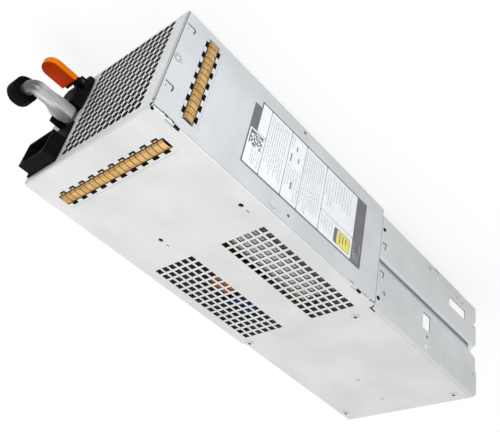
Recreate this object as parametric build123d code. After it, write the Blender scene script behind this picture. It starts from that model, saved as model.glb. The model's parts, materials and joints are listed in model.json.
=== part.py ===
from build123d import *
import math
import os

os.makedirs("parts", exist_ok=True)

# Hot swap power supply for a server, in millimetres.
# +X is to the right seen from the mesh end, +Y points into the server, +Z is up.
# While modelling, y = 0 is the mesh end. Each piece is moved back by half of the
# body's length when it is written, so the origin lies under the middle of the body.

# Sheet metal case
CASE_W = 120.0
CASE_H = 85.0
BODY_L = 201.0
TONGUE_L = 137.0
SHEET = 1.0
BEND_R = 2.0
SEAM = 0.2
JOG = 2.4
TONGUE_LIFT = 6.7
TONGUE_BEND_R = 3.5
RELIEF_X = (-56.7, -55.3)
RELIEF_L = 6.1
CASE_L = BODY_L + TONGUE_L
HALF_W = CASE_W / 2
INNER_W = HALF_W - SHEET
ROOF = CASE_H - SHEET
TONGUE_Y = BODY_L + JOG
COVER_L = TONGUE_Y - 2 * SEAM

# Square vents in the top, two groups
VENT_PITCH = 6.35
VENT_HOLE = 4.45
VENT_COLUMNS = 6
VENT_ROWS = 15
VENT_LEFT_X = -29.6
VENT_RIGHT_X = 33.2
VENT_MID_Y = BODY_L - 50.2

# Perforated mesh end
MESH_PITCH = 5.6
MESH_HOLE_R = 2.6
MESH_LEFT_X = 14.6 - HALF_W
MESH_COLUMNS = 13
MESH_TOP_Z = CASE_H - 8.8
MESH_ROWS = int((MESH_TOP_Z - 3.0) / MESH_PITCH) + 1

# Spring finger strips that earth the case against the server
FINGER_PITCH = 4.75
FINGER_GAP = 0.6
FINGER_T = 0.4
FINGER_SPAN = 8.2
FINGER_RISE = 0.8
FINGER_FOOT = 3.0
STRIP_Y = 23.2
TOP_STRIP_X = 0.6
TOP_FINGERS = 20
SIDE_STRIP_Z = 41.4
SIDE_FINGERS = 14
NOTCH_W = 3.4
NOTCH_D = 1.9
STRIP_END_GAP = 1.2

# Formed side walls of the tongue
BEAD_Z = 48.05
BEAD_W = 4.5
BEAD_DEPTH = 1.4
BEAD_END_Y = CASE_L - 12.0
WINDOW_A = ((CASE_L - 76.8, CASE_L - 67.2), (54.8, 67.8))
WINDOW_B = ((CASE_L - 41.4, CASE_L - 17.5), (19.1, 27.4))
WALL_HOLE_R = 1.6
WALL_HOLES_Z = (17.9, 76.8)

# Sighting holes in the top, each with a short slit
SIGHT_HOLES = ((-48.5, 82.5), (21.7, 82.0))
SIGHT_R = 1.7
SLIT_W = 0.7
SLIT_Y = (5.0, 7.4)

# Screw and small holes in the cover's sides
COVER_SCREW_Y = 96.3
COVER_SCREW_Z = CASE_H - 6.8
COVER_HOLES = ((110.6, CASE_H - 8.4), (110.4, 4.6))
COVER_HOLE_R = 1.2

# Slots along the cover's folded edges: (low, high) along Y
TAB_SLOTS_Y = ((9.0, 18.3), (BODY_L - 11.5, BODY_L - 5.8))
FOLD_SLOTS_Y = ((24.5, 30.0), (88.5, 95.0), (BODY_L - 27.0, BODY_L - 21.5))
FOLD_SLOT_H = 1.3

# Mains inlet with its flange plate
FLANGE_X = (HALF_W - 31.1, HALF_W - 1.4)
FLANGE_Z = (CASE_H - 38.8, CASE_H - 4.8)
FLANGE_T = 1.2
INLET_W = 26.0
INLET_H = 18.6
INLET_WALL = 1.2
INLET_FRONT = -9.8
INLET_BACK = 14.0
INLET_INSET = 0.5
BLADE_W = 4.0
BLADE_T = 2.0
BLADE_TIP = -5.0
BLADE_BACK = 19.0
BLADE_SIDE = 7.0
BLADE_OFFSET = 2.0
INLET_X = (FLANGE_X[0], FLANGE_X[0] + INLET_W)
INLET_Z = (FLANGE_Z[1] - INLET_H, FLANGE_Z[1])
INLET_MID_X = sum(INLET_X) / 2
INLET_MID_Z = sum(INLET_Z) / 2

# Latch bracket on the mesh end: a plate with a bowed edge, the latch lug and the handle's block
BRACKET_T = 4.6
BRACKET_X = (HALF_W - 32.4, HALF_W - 4.0)
BRACKET_Z = (4.8, CASE_H - 50.3)
BRACKET_BOW = 2.2
BLOCK_Y = -8.8
BLOCK_Z = BRACKET_Z[1] - 12.0
CHEEK_T = 3.3

# Release latch: a rocker on a pin along X, with a tooth through the side wall
PIVOT_Y = -7.3
PIVOT_Z = 15.0
LATCH_PIN_R = 1.2
LATCH_BARREL_R = 2.5
LATCH_X = (HALF_W - 29.7, HALF_W - 26.7)
LATCH_T = 4.0
LATCH_BAR_Y = (3.2, 8.0)
LATCH_LUG_T = 2.0
LATCH_LUG_Y = -9.6
LATCH_LUG_Z = (12.0, 17.9)
TOOTH_REACH = 2.6
TOOTH_L = 7.8
SPRING_WIRE = 0.9
SPRING_TURNS = 2
PIN_HEAD_T = 0.6
RUN_GAP = 0.05
SIDE_GAP = 0.3
LUG_X = (LATCH_X[0] - SIDE_GAP - LATCH_LUG_T, LATCH_X[0] - SIDE_GAP)
LATCH_WAY_Z = (PIVOT_Z - LATCH_T / 2 - 3.1, PIVOT_Z + LATCH_T / 2 + 0.9)

# Orange touch tab moulded over the latch blade
TAB_W = 14.1
TAB_X = HALF_W - 25.35
TAB_ROOT_Y = -12.2
TAB_END_Y = -33.0
TAB_T = 4.8
TAB_Z = 17.1
BLADE_PLATE_T = 2.0
ROOT_STRIP_L = 2.0
ROOT_STRIP_T = 2.8

# Swing handle on a pin along Z
HANDLE_PIN_X = HALF_W - 26.0
HANDLE_PIN_Y = -5.2
HANDLE_PIN_R = 2.4
HANDLE_HUB_R = 4.6
HANDLE_Z = (CASE_H - 49.8, CASE_H - 40.2)
HANDLE_BASE_W = 11.4
HANDLE_BASE_Y = -10.0
HANDLE_BAR_R = 4.3
HANDLE_BAR_Z = HANDLE_Z[1] - HANDLE_BAR_R
HANDLE_REACH = -32.0
HANDLE_BEND_R = 5.6
HANDLE_END_X = HALF_W - 10.5

# Hook-and-loop strap rolled on the handle's end
ROLL_R = 9.0
ROLL_W = 9.8
ROLL_STEP = 1.2

# Fan behind the mesh, on rubber pads between the bottom and the roof
FAN_PAD_T = 1.5
FAN_SIZE = ROOF - SHEET - 2 * FAN_PAD_T
FAN_DEPTH = 38.0
FAN_X = -10.0
FAN_Y = 24.0
FAN_Z = (SHEET + ROOF) / 2
FAN_BORE_R = FAN_SIZE / 2 - 2.2
FAN_CORNER = FAN_SIZE / 2 - 4.25
FAN_FLANGE = 4.0
FAN_HUB_R = 18.0
FAN_BLADES = 7
FAN_TIP_GAP = 1.0
FAN_SHAFT_R = 1.5
FAN_TUBE_R = 4.0

# Main board and what stands on it
BOARD_T = 1.6
BOARD_X = HALF_W - 4.0
BOARD_Y = (66.0, BODY_L - 5.0)
STANDOFF_H = 7.0
STANDOFF_R = 3.0
STANDOFF_PLACES = [(x, y) for x in (5.0 - BOARD_X, BOARD_X - 5.0)
                   for y in (BOARD_Y[0] + 5.0, sum(BOARD_Y) / 2, BOARD_Y[1] - 5.0)]
BOARD_TOP = SHEET + STANDOFF_H + BOARD_T
ROOM_H = ROOF - BOARD_TOP
HEATSINK_X = (18.0 - HALF_W, 43.0 - HALF_W)
HEATSINK_Y = (BODY_L - 91.0, BODY_L - 12.0)
HEATSINK_H = ROOM_H - 10.4
SIDE_SINK_X = (HALF_W - 16.0, HALF_W - 5.5)
SIDE_SINK_Y = (84.0, 128.0)
SIDE_SINK_H = 42.0
TRANSFORMER_MID = (27.0, BODY_L - 49.0)
TRANSFORMER_H = ROOM_H - 13.4
INDUCTOR_MID = (6.0, BODY_L - 83.0)
INDUCTOR_R = 18.5
INDUCTOR_BORE_R = 7.5
INDUCTOR_W = 11.0
CARRIER_H = 6.0
BULK_R = (HALF_W - 18.0) / 3
BULK_PLACES = [(x, FAN_Y + FAN_DEPTH + 24.0) for x in (22.0 - HALF_W, -5.0, HALF_W - 32.0)]
BULK_H = 50.0
FILM_X = (HALF_W - 27.0, HALF_W - 7.0)
FILM_Y = BODY_L - 32.4
FILM_H = ROOM_H - 12.4

# Filter stage beside the fan
FILTER_X = (FAN_X + FAN_SIZE / 2 + 2.0, HALF_W - 2.5)
FILTER_Y = (26.0, 62.0)
CHOKE_MID = (sum(FILTER_X) / 2, sum(FILTER_Y) / 2)
CHOKE_W = FILTER_X[1] - FILTER_X[0] - 0.7
CHOKE_FOOT = SHEET + 8.0

# Output board that hangs under the tongue's roof
OUT_BOARD_Y = (BODY_L + 0.6, CASE_L - 5.0)
OUT_BOARD_X = HALF_W - 2.6
OUT_SPACER_H = 6.0
OUT_BOARD_Z = ROOF - OUT_SPACER_H - BOARD_T
OUT_SCREWS = [(19.4 - HALF_W, BODY_L + 8.0), (HALF_W - 6.3, BODY_L + 3.8),
              (HALF_W - 7.1, CASE_L - 11.5), (14.1 - HALF_W, CASE_L - 8.5)]
SCREW_R = 1.45
SCREW_HEAD_R = 2.7
SCREW_HEAD_H = 0.5
CLINCH_NUT = 7.0
CONNECTOR_X = 34.0
CONNECTOR_Y = (CASE_L - 30.0, CASE_L - 15.0)
CONNECTOR_H = 18.0
CONNECTOR_Z = (OUT_BOARD_Z - CONNECTOR_H, OUT_BOARD_Z)
POWER_BLADES = 8
POWER_BLADE_T = 1.6
POWER_BLADE_H = 10.0

# Bulkhead between the body and the tongue, and the bus bars through it
BULKHEAD_Y = BODY_L - SHEET - SEAM
BUS_X = ((-16.0, -4.0), (2.0, 14.0))
BUS_T = 2.0
BUS_Y = BOARD_Y[1] - 4.0
BUS_LEVEL = 62.0
BUS_SLOT_GAP = 1.5

# Rating label on the left side
LABEL_T = 0.15
LABEL_Y = (64.2, BODY_L - 18.2)
LABEL_Z = (13.0, 69.2)
LABEL_STEP = 5.8


def block(x, y, z):
    """A box from three (low, high) pairs."""
    pairs = (x, y, z)
    size = [high - low for low, high in pairs]
    middle = [(high + low) / 2 for low, high in pairs]
    return Pos(*middle) * Box(*size)


def rod(x, y, z, radius, axis):
    """A cylinder along one axis: that axis is a (low, high) pair, the others are numbers."""
    turn = {"x": Rot(0, 90, 0), "y": Rot(90, 0, 0), "z": Rot(0, 0, 0)}[axis]
    low, high = {"x": x, "y": y, "z": z}[axis]
    middle = [(low + high) / 2 if name == axis else value for name, value in zip("xyz", (x, y, z))]
    return Pos(*middle) * turn * Cylinder(radius, high - low)


def prism(points, axis, low, high):
    """A polygon, given in the other two axes in their order, extruded along an axis."""
    place = {"x": lambda a, b: (low, a, b),
             "y": lambda a, b: (a, low, b),
             "z": lambda a, b: (a, b, low)}[axis]
    outline = Polyline([place(a, b) for a, b in points], close=True)
    direction = {"x": (1, 0, 0), "y": (0, 1, 0), "z": (0, 0, 1)}[axis]
    return extrude(make_face(outline), amount=high - low, dir=direction)


def along(solid, axis, up, out=None):
    """Edges along an axis at the solid's top or bottom, and at one end of another axis if asked."""
    edges = solid.edges().filter_by(axis).group_by(Axis.Z)[-1 if up else 0]
    if out is None:
        return edges
    return [edges.sort_by(Axis.Y)[out]]


def vent_cutters():
    """Square holes of both vents in the top."""
    cutters = []
    for middle in (VENT_LEFT_X, VENT_RIGHT_X):
        for column in range(VENT_COLUMNS):
            x = middle + (column - (VENT_COLUMNS - 1) / 2) * VENT_PITCH
            for row in range(VENT_ROWS):
                y = VENT_MID_Y + (row - (VENT_ROWS - 1) / 2) * VENT_PITCH
                cutters.append(Pos(x, y, ROOF + SHEET / 2) * Box(VENT_HOLE, VENT_HOLE, 3 * SHEET))
    return cutters


def mesh_cutters():
    """Eight-sided holes of the mesh end, left out where the latch bracket covers it."""
    cutters = []
    for column in range(MESH_COLUMNS):
        x = MESH_LEFT_X + column * MESH_PITCH
        for row in range(MESH_ROWS):
            z = MESH_TOP_Z - row * MESH_PITCH
            near_bracket = x + MESH_HOLE_R > BRACKET_X[0] and BRACKET_Z[0] - MESH_PITCH < z
            if near_bracket and z < BRACKET_Z[1] + MESH_HOLE_R:
                continue
            hole = RegularPolygon(MESH_HOLE_R, 8, rotation=22.5)
            plane = Plane(origin=(x, -SHEET, z), x_dir=(1, 0, 0), z_dir=(0, -1, 0))
            cutters.append(extrude(plane * hole, amount=3 * SHEET, dir=(0, 1, 0)))
    return cutters


def strip_cutters(count):
    """Aperture and notch pairs of a finger strip, flat in XY about the origin."""
    length = count * FINGER_PITCH
    half_span = FINGER_SPAN / 2
    aperture = Box(length + 2 * STRIP_END_GAP, FINGER_SPAN, 3 * SHEET)
    notches = []
    for pair in range(count // 2):
        x = (pair - (count // 2 - 1) / 2) * 2 * FINGER_PITCH
        for side in (-1, 1):
            notches.append(Pos(x, side * (half_span + NOTCH_D / 2), 0) * Box(NOTCH_W, NOTCH_D, 3 * SHEET))
    return aperture, notches


def finger_strip(count):
    """Strip of arched spring fingers, flat in XY, its feet under z = 0 and its crowns above."""
    half_span = FINGER_SPAN / 2 - SIDE_GAP
    foot = half_span + FINGER_FOOT
    crown = SHEET + FINGER_RISE
    rise = [(-half_span, 0), (-half_span * 0.86, crown * 0.62), (-half_span * 0.45, crown),
            (half_span * 0.45, crown), (half_span * 0.86, crown * 0.62), (half_span, 0)]
    upper = [(-foot, 0)] + rise + [(foot, 0)]
    lower = [(foot, -FINGER_T), (half_span - FINGER_T, -FINGER_T)]
    for y, z in reversed(rise[1:-1]):
        lower.append((y * (half_span - FINGER_T) / half_span, z - FINGER_T))
    lower += [(-half_span + FINGER_T, -FINGER_T), (-foot, -FINGER_T)]
    half_length = count * FINGER_PITCH / 2 - SIDE_GAP
    strip = prism(upper + lower, "x", -half_length, half_length)
    slots = []
    for gap in range(1, count):
        x = (gap - count / 2) * FINGER_PITCH
        gap_x = (x - FINGER_GAP / 2, x + FINGER_GAP / 2)
        slots.append(block(gap_x, (-half_span, half_span), (-1, crown + 1)))
    return strip - slots - strip_cutters(count)[1]


TOP_STRIP_PLACE = Pos(TOP_STRIP_X, STRIP_Y, ROOF)
SIDE_STRIP_PLACE = Pos(-INNER_W, STRIP_Y, SIDE_STRIP_Z) * Rot(0, -90, 0)


def screw_holes():
    """Clearance holes in the top for the four output board screws."""
    return [rod(x, y, (ROOF - 1, CASE_H + 1), SCREW_R + SEAM, "z") for x, y in OUT_SCREWS]


def wall_end_cut():
    """What is left out beyond the far end profile of the tongue's side walls."""
    past = CASE_L + 1
    outline = [(past, 64.7), (CASE_L - 1.4, 64.7), (CASE_L - 1.4, 53.0), (CASE_L - 9.6, 51.5),
               (CASE_L - 6.7, 47.3), (CASE_L - 0.6, 40.6), (CASE_L - 0.5, 24.6), (CASE_L - 3.6, 23.7),
               (CASE_L - 0.5, 19.1), (CASE_L - 0.5, 0), (past, 0)]
    return prism(outline, "x", -HALF_W - 1, HALF_W + 1)


def chassis():
    """Top, mesh end and the tongue's side walls, bent from one sheet."""
    rear = block((-HALF_W, HALF_W), (0, TONGUE_Y), (0, CASE_H))
    rear = fillet(along(rear, Axis.X, True, 0), BEND_R)
    hollow = block((-HALF_W - 1, HALF_W + 1), (SHEET, TONGUE_Y + 1), (-1, ROOF))
    hollow = fillet(along(hollow, Axis.X, True, 0), BEND_R - SHEET)
    tongue = block((-HALF_W, HALF_W), (TONGUE_Y, CASE_L), (TONGUE_LIFT, CASE_H))
    tongue = fillet(along(tongue, Axis.Y, True), TONGUE_BEND_R)
    bay = block((-INNER_W, INNER_W), (TONGUE_Y - 1, CASE_L + 1), (0, ROOF))
    bay = fillet(along(bay, Axis.Y, True), TONGUE_BEND_R - SHEET)
    sheet = (rear - hollow) + (tongue - bay)
    # Guide beads pressed into both walls
    for side in (-1, 1):
        inner = sorted((side * (HALF_W - SHEET - BEAD_DEPTH), side * HALF_W))
        outer = sorted((side * (HALF_W - BEAD_DEPTH), side * (HALF_W + 1)))
        wide = BEAD_W / 2 + SHEET
        sheet += block(inner, (TONGUE_Y, BEAD_END_Y + SHEET), (BEAD_Z - wide, BEAD_Z + wide))
        sheet -= block(outer, (TONGUE_Y - 1, BEAD_END_Y), (BEAD_Z - BEAD_W / 2, BEAD_Z + BEAD_W / 2))
    cutters = [wall_end_cut()]
    for low, high in (WINDOW_A, WINDOW_B):
        cutters.append(block((-HALF_W - 1, HALF_W + 1), low, high))
    for z in WALL_HOLES_Z:
        cutters.append(rod((-HALF_W - 1, HALF_W + 1), TONGUE_Y + 3.4, z, WALL_HOLE_R, "x"))
    # Corner relief of the tongue's bends, with a longer slot at the label side
    through = (ROOF - TONGUE_BEND_R, CASE_H + 1)
    for side in (-1, 1):
        slit = sorted((side * -RELIEF_X[0], side * (HALF_W + 1)))
        cutters.append(block(slit, (TONGUE_Y - SEAM, TONGUE_Y + 2 * SEAM), through))
    cutters.append(block(RELIEF_X, (TONGUE_Y, TONGUE_Y + RELIEF_L), through))
    # The cover's walls stand beside the mesh end
    for side in (-1, 1):
        edge = sorted((side * (INNER_W - SEAM), side * (HALF_W + 1)))
        cutters.append(block(edge, (-1, BEND_R + SEAM), (-1, ROOF)))
    cutters.append(rod(-INNER_W, SHEET, (ROOF - 1, CASE_H + 1), SHEET * 0.9, "z"))
    # Way through for the inlet's box and the latch arm
    cutters.append(block((INLET_X[0] + INLET_INSET - SEAM, INLET_X[1] - INLET_INSET + SEAM), (-1, SHEET + 1),
                         (INLET_Z[0] + INLET_INSET - SEAM, INLET_Z[1] - INLET_INSET + SEAM)))
    cutters.append(latch_way(SHEET + 1))
    for x, y in SIGHT_HOLES:
        cutters.append(rod(x, y, (ROOF - 1, CASE_H + 1), SIGHT_R, "z"))
        slit = (y + SLIT_Y[0], y + SLIT_Y[1])
        cutters.append(block((x - SLIT_W / 2, x + SLIT_W / 2), slit, (ROOF - 1, CASE_H + 1)))
    cutters += screw_holes() + vent_cutters() + mesh_cutters()
    aperture, notches = strip_cutters(TOP_FINGERS)
    cutters += [TOP_STRIP_PLACE * cutter for cutter in [aperture] + notches]
    return sheet - cutters


def cover():
    """Label side, bottom and far side, bent from one sheet."""
    shell = block((-HALF_W, HALF_W), (0, COVER_L), (0, ROOF))
    shell = fillet(along(shell, Axis.Y, False), BEND_R)
    hollow = block((-INNER_W, INNER_W), (-1, COVER_L + 1), (SHEET, CASE_H))
    hollow = fillet(along(hollow, Axis.Y, False), BEND_R - SHEET)
    shell -= hollow
    side_x = (-HALF_W - 1, -INNER_W + 1)
    both_x = (-HALF_W - 1, HALF_W + 1)
    mesh_seat = block((-INNER_W + SEAM, INNER_W - SEAM), (-1, SHEET + SEAM), (-1, SHEET + 1))
    aperture, notches = strip_cutters(SIDE_FINGERS)
    cutters = [mesh_seat] + [SIDE_STRIP_PLACE * cutter for cutter in [aperture] + notches]
    cutters.append(rod(both_x, COVER_SCREW_Y, COVER_SCREW_Z, SCREW_R + SEAM, "x"))
    for y, z in COVER_HOLES:
        cutters.append(rod(side_x, y, z, COVER_HOLE_R, "x"))
    # Slots along the upper edges for the locating tabs, and along the folds
    for span in TAB_SLOTS_Y:
        cutters.append(block(both_x, span, (ROOF - 1.6, ROOF + 1)))
    for span in FOLD_SLOTS_Y:
        for side in (-1, 1):
            edge = sorted((side * (INNER_W - BEND_R), side * (HALF_W + 1)))
            cutters.append(block(edge, span, (-1, FOLD_SLOT_H)))
    # Slot for the latch tooth in the far wall
    tooth_y = (LATCH_BAR_Y[0] - 0.8, LATCH_BAR_Y[0] + TOOTH_L + 0.8)
    cutters.append(block((INNER_W - 1, HALF_W + 1), tooth_y, LATCH_WAY_Z))
    return shell - cutters


def locating_tabs():
    """Small tabs of the top sheet's edge stiffener that fill the cover's edge slots."""
    tabs = []
    for side in (-1, 1):
        for low, high in TAB_SLOTS_Y:
            x = sorted((side * (HALF_W - 0.35), side * (INNER_W - SHEET)))
            reach = (low + high) / 2
            tabs.append(block(x, (low + 0.5, reach + 1.2), (ROOF - 1.3, ROOF)))
    return Compound(tabs)


def latch_way(depth):
    """Slot that the latch arm passes through, from the bracket's face to a depth behind the mesh."""
    x = (LATCH_X[0] - SIDE_GAP, LATCH_X[1] + SIDE_GAP)
    return block(x, (-BRACKET_T - 1, depth), (PIVOT_Z - LATCH_T / 2 - 1.8, PIVOT_Z + LATCH_T / 2 + 0.6))


def blade_places():
    """Middles of the three inlet blades: two live ones and the earth one above them."""
    return [(INLET_MID_X - BLADE_SIDE, INLET_MID_Z - BLADE_OFFSET),
            (INLET_MID_X + BLADE_SIDE, INLET_MID_Z - BLADE_OFFSET),
            (INLET_MID_X, INLET_MID_Z + BLADE_OFFSET)]


def inlet_blades():
    """Flat mains blades with bare solder ends behind the housing."""
    blades = []
    for x, z in blade_places():
        pin = Pos(x, (BLADE_TIP + BLADE_BACK) / 2, z) * Box(BLADE_T, BLADE_BACK - BLADE_TIP, BLADE_W)
        blades.append(chamfer(pin.faces().sort_by(Axis.Y)[0].edges(), 0.5))
    return Compound(blades)


def inlet_housing():
    """Flange plate with the mains shroud and the closed box behind it."""
    plate = block(FLANGE_X, (-FLANGE_T, 0), FLANGE_Z)
    shroud = block(INLET_X, (INLET_FRONT, 0), INLET_Z)
    inset = [(low + INLET_INSET, high - INLET_INSET) for low, high in (INLET_X, INLET_Z)]
    rear_box = block(inset[0], (0, INLET_BACK), inset[1])
    wide = INLET_W / 2 - INLET_WALL
    tall = INLET_H / 2 - INLET_WALL
    cut = 3.4
    outline = [(-wide, -tall), (wide, -tall), (wide, tall - cut), (wide - cut, tall),
               (cut - wide, tall), (-wide, tall - cut)]
    corners = [(INLET_MID_X + a, INLET_MID_Z + b) for a, b in outline]
    cavity = prism(corners, "y", INLET_FRONT - 1, INLET_BACK - 2 * INLET_WALL)
    holes = []
    for x, z in blade_places():
        holes.append(Pos(x, INLET_BACK, z) * Box(BLADE_T, 2 * INLET_BACK, BLADE_W))
    return plate + shroud + rear_box - cavity - holes


def latch_bracket():
    """Black bracket on the mesh end: bowed plate, latch lug, handle block and its stop cheek."""
    low, high = BRACKET_Z
    left, right = BRACKET_X
    bowed = ThreePointArc((left + BRACKET_BOW, -BRACKET_T, low), (left, -BRACKET_T, low + 17),
                          (left + 0.8, -BRACKET_T, high))
    corners = [(left + 0.8, high), (right, high), (right, low + 4), (right - 4, low),
               (left + BRACKET_BOW, low)]
    straight = Polyline([(x, -BRACKET_T, z) for x, z in corners])
    bracket = extrude(make_face(Curve() + [bowed, straight]), amount=BRACKET_T, dir=(0, 1, 0))
    low_front = bracket.edges().filter_by(Axis.X).group_by(Axis.Z)[0].sort_by(Axis.Y)[0]
    bracket = chamfer(low_front, BRACKET_T * 0.35)
    bracket += block(LUG_X, (LATCH_LUG_Y, -1), LATCH_LUG_Z)
    bracket -= rod(LUG_X, PIVOT_Y, PIVOT_Z, LATCH_PIN_R, "x")
    seat_z = HANDLE_Z[0] - SIDE_GAP
    cheek_x = HANDLE_PIN_X - HANDLE_HUB_R + HANDLE_BASE_W + SIDE_GAP
    cheek = (cheek_x, cheek_x + CHEEK_T)
    stop_z = HANDLE_Z[1] + 0.6
    lug = block((left + SIDE_GAP, cheek[1]), (BLOCK_Y, -1), (BLOCK_Z, seat_z))
    lug += block(cheek, (HANDLE_BASE_Y, 0), (seat_z - 3, stop_z))
    bracket += fillet(lug.edges().filter_by(Axis.Z).group_by(Axis.Y)[0], 1.5)
    bracket -= rod(HANDLE_PIN_X, HANDLE_PIN_Y, (BLOCK_Z + 2, seat_z + 1), HANDLE_PIN_R, "z")
    return bracket - latch_way(1)


def latch_pin():
    """Shoulder pin pressed into the latch lug, its head holding lever and spring."""
    head_x = LATCH_X[1] + 2 * RUN_GAP + SPRING_TURNS * SPRING_WIRE
    shank = rod((LUG_X[0], head_x + PIN_HEAD_T), PIVOT_Y, PIVOT_Z, LATCH_PIN_R, "x")
    return shank + rod((head_x, head_x + PIN_HEAD_T), PIVOT_Y, PIVOT_Z, LATCH_PIN_R + SPRING_WIRE, "x")


def latch_spring():
    """Torsion spring on the latch pin, close wound, with one leg against the bracket."""
    start = LATCH_X[1] + 2 * RUN_GAP
    inner = LATCH_PIN_R + RUN_GAP
    coil = []
    for turn in range(SPRING_TURNS):
        width = (start + turn * SPRING_WIRE, start + (turn + 1) * SPRING_WIRE)
        ring = rod(width, PIVOT_Y, PIVOT_Z, inner + SPRING_WIRE, "x")
        coil.append(chamfer(ring.edges(), SPRING_WIRE * 0.3) - rod(width, PIVOT_Y, PIVOT_Z, inner, "x"))
    leg_x = start + (SPRING_TURNS - 0.5) * SPRING_WIRE
    leg_z = PIVOT_Z + inner + SPRING_WIRE / 2
    leg = rod(leg_x, (PIVOT_Y, -BRACKET_T), leg_z, SPRING_WIRE / 2, "y")
    return leg + coil


def latch_lever():
    """Black rocker: blade for the tab, neck, barrel, arm through the mesh end, cross bar and tooth."""
    half = LATCH_T / 2
    barrel = rod(LATCH_X, PIVOT_Y, PIVOT_Z, LATCH_BARREL_R, "x")
    root_end = TAB_ROOT_Y + ROOT_STRIP_L
    neck = block(LATCH_X, (root_end - 0.5, PIVOT_Y), (PIVOT_Z - LATCH_BARREL_R, PIVOT_Z + LATCH_BARREL_R))
    wide = TAB_W / 2 - 1.5
    strip = block((TAB_X - TAB_W / 2 + 0.6, TAB_X + wide - 0.5), (TAB_ROOT_Y, root_end),
                  (TAB_Z - ROOT_STRIP_T / 2, TAB_Z + ROOT_STRIP_T / 2))
    plate = (TAB_Z - BLADE_PLATE_T / 2, TAB_Z + BLADE_PLATE_T / 2)
    blade = block((TAB_X - wide, TAB_X + wide), (TAB_END_Y + TAB_W / 2, TAB_ROOT_Y), plate)
    level = (PIVOT_Z - half, PIVOT_Z + half)
    arm = block(LATCH_X, (PIVOT_Y, LATCH_BAR_Y[1]), level)
    bar_end = INNER_W - 0.4
    bar = block((LATCH_X[0], bar_end), LATCH_BAR_Y, level)
    reach = HALF_W + TOOTH_REACH
    rear, front = LATCH_BAR_Y[0], LATCH_BAR_Y[0] + TOOTH_L
    tooth = prism([(bar_end, rear), (reach, rear), (reach, rear + 1.4), (HALF_W, front), (bar_end, front)],
                  "z", *level)
    bore = rod(LATCH_X, PIVOT_Y, PIVOT_Z, LATCH_PIN_R + RUN_GAP, "x")
    lever = barrel + neck + strip + blade + arm + bar + tooth
    return lever - bore


def latch_tab():
    """Orange touch tab with a round end, moulded over the lever's blade."""
    radius = TAB_W / 2
    level = (TAB_Z - TAB_T / 2, TAB_Z + TAB_T / 2)
    body = block((TAB_X - radius, TAB_X + radius), (TAB_END_Y + radius, TAB_ROOT_Y), level)
    body += rod(TAB_X, TAB_END_Y + radius, level, radius, "z")
    rims = body.faces().filter_by(Axis.Z)
    body = fillet(rims.edges(), 0.8)
    wide = radius - 1.5
    plate = (TAB_Z - BLADE_PLATE_T / 2, TAB_Z + BLADE_PLATE_T / 2)
    return body - block((TAB_X - wide, TAB_X + wide), (TAB_END_Y + radius, TAB_ROOT_Y + 1), plate)


def handle_arm():
    """Satin grey handle: round-backed base on the pin, round bar outward, then a bend to the right."""
    left = HANDLE_PIN_X - HANDLE_HUB_R
    right = left + HANDLE_BASE_W
    base = block((left, right), (HANDLE_BASE_Y, HANDLE_PIN_Y), HANDLE_Z)
    base += rod(HANDLE_PIN_X, HANDLE_PIN_Y, HANDLE_Z, HANDLE_HUB_R, "z")
    bar_x = left + HANDLE_BAR_R
    bar_z = HANDLE_BAR_Z
    taper_end = HANDLE_BASE_Y - 5.6
    taper = prism([(left, HANDLE_BASE_Y), (right, HANDLE_BASE_Y), (bar_x + HANDLE_BAR_R, taper_end),
                   (left, taper_end)], "z", *HANDLE_Z)
    corner_y = HANDLE_REACH + HANDLE_BEND_R
    corner_x = bar_x + HANDLE_BEND_R
    bar = rod(bar_x, (corner_y, HANDLE_BASE_Y), bar_z, HANDLE_BAR_R, "y")
    bend = Torus(HANDLE_BEND_R, HANDLE_BAR_R, major_angle=90, align=None)
    bar += Pos(corner_x, corner_y, bar_z) * Rot(0, 0, 180) * bend
    bar += rod((corner_x, HANDLE_END_X), HANDLE_REACH, bar_z, HANDLE_BAR_R, "x")
    bore = rod(HANDLE_PIN_X, HANDLE_PIN_Y, (HANDLE_Z[0] - 1, HANDLE_Z[1] + 1), HANDLE_PIN_R + RUN_GAP, "z")
    return base + taper + bar - bore


def handle_pin():
    """Headed pin pressed into the handle lug."""
    top = HANDLE_Z[1] + 2 * RUN_GAP
    shank = rod(HANDLE_PIN_X, HANDLE_PIN_Y, (BLOCK_Z + 2, top), HANDLE_PIN_R, "z")
    return shank + rod(HANDLE_PIN_X, HANDLE_PIN_Y, (top, top + PIN_HEAD_T), HANDLE_PIN_R + 0.9, "z")


def strap_roll():
    """Rolled strap: a spiral's outer turn with its free end standing a step proud."""
    bar_z = HANDLE_BAR_Z
    span = (HANDLE_END_X - ROLL_W - SIDE_GAP, HANDLE_END_X - SIDE_GAP)
    roll = rod(span, HANDLE_REACH, bar_z, ROLL_R - ROLL_STEP, "x")
    turn = rod(span, HANDLE_REACH, bar_z, ROLL_R, "x")
    quarter = block(span, (HANDLE_REACH - 2 * ROLL_R, HANDLE_REACH), (bar_z - 2 * ROLL_R, bar_z))
    roll += turn - quarter
    return roll - rod((span[0] - 1, HANDLE_END_X + 1), HANDLE_REACH, bar_z, HANDLE_BAR_R, "x")


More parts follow.
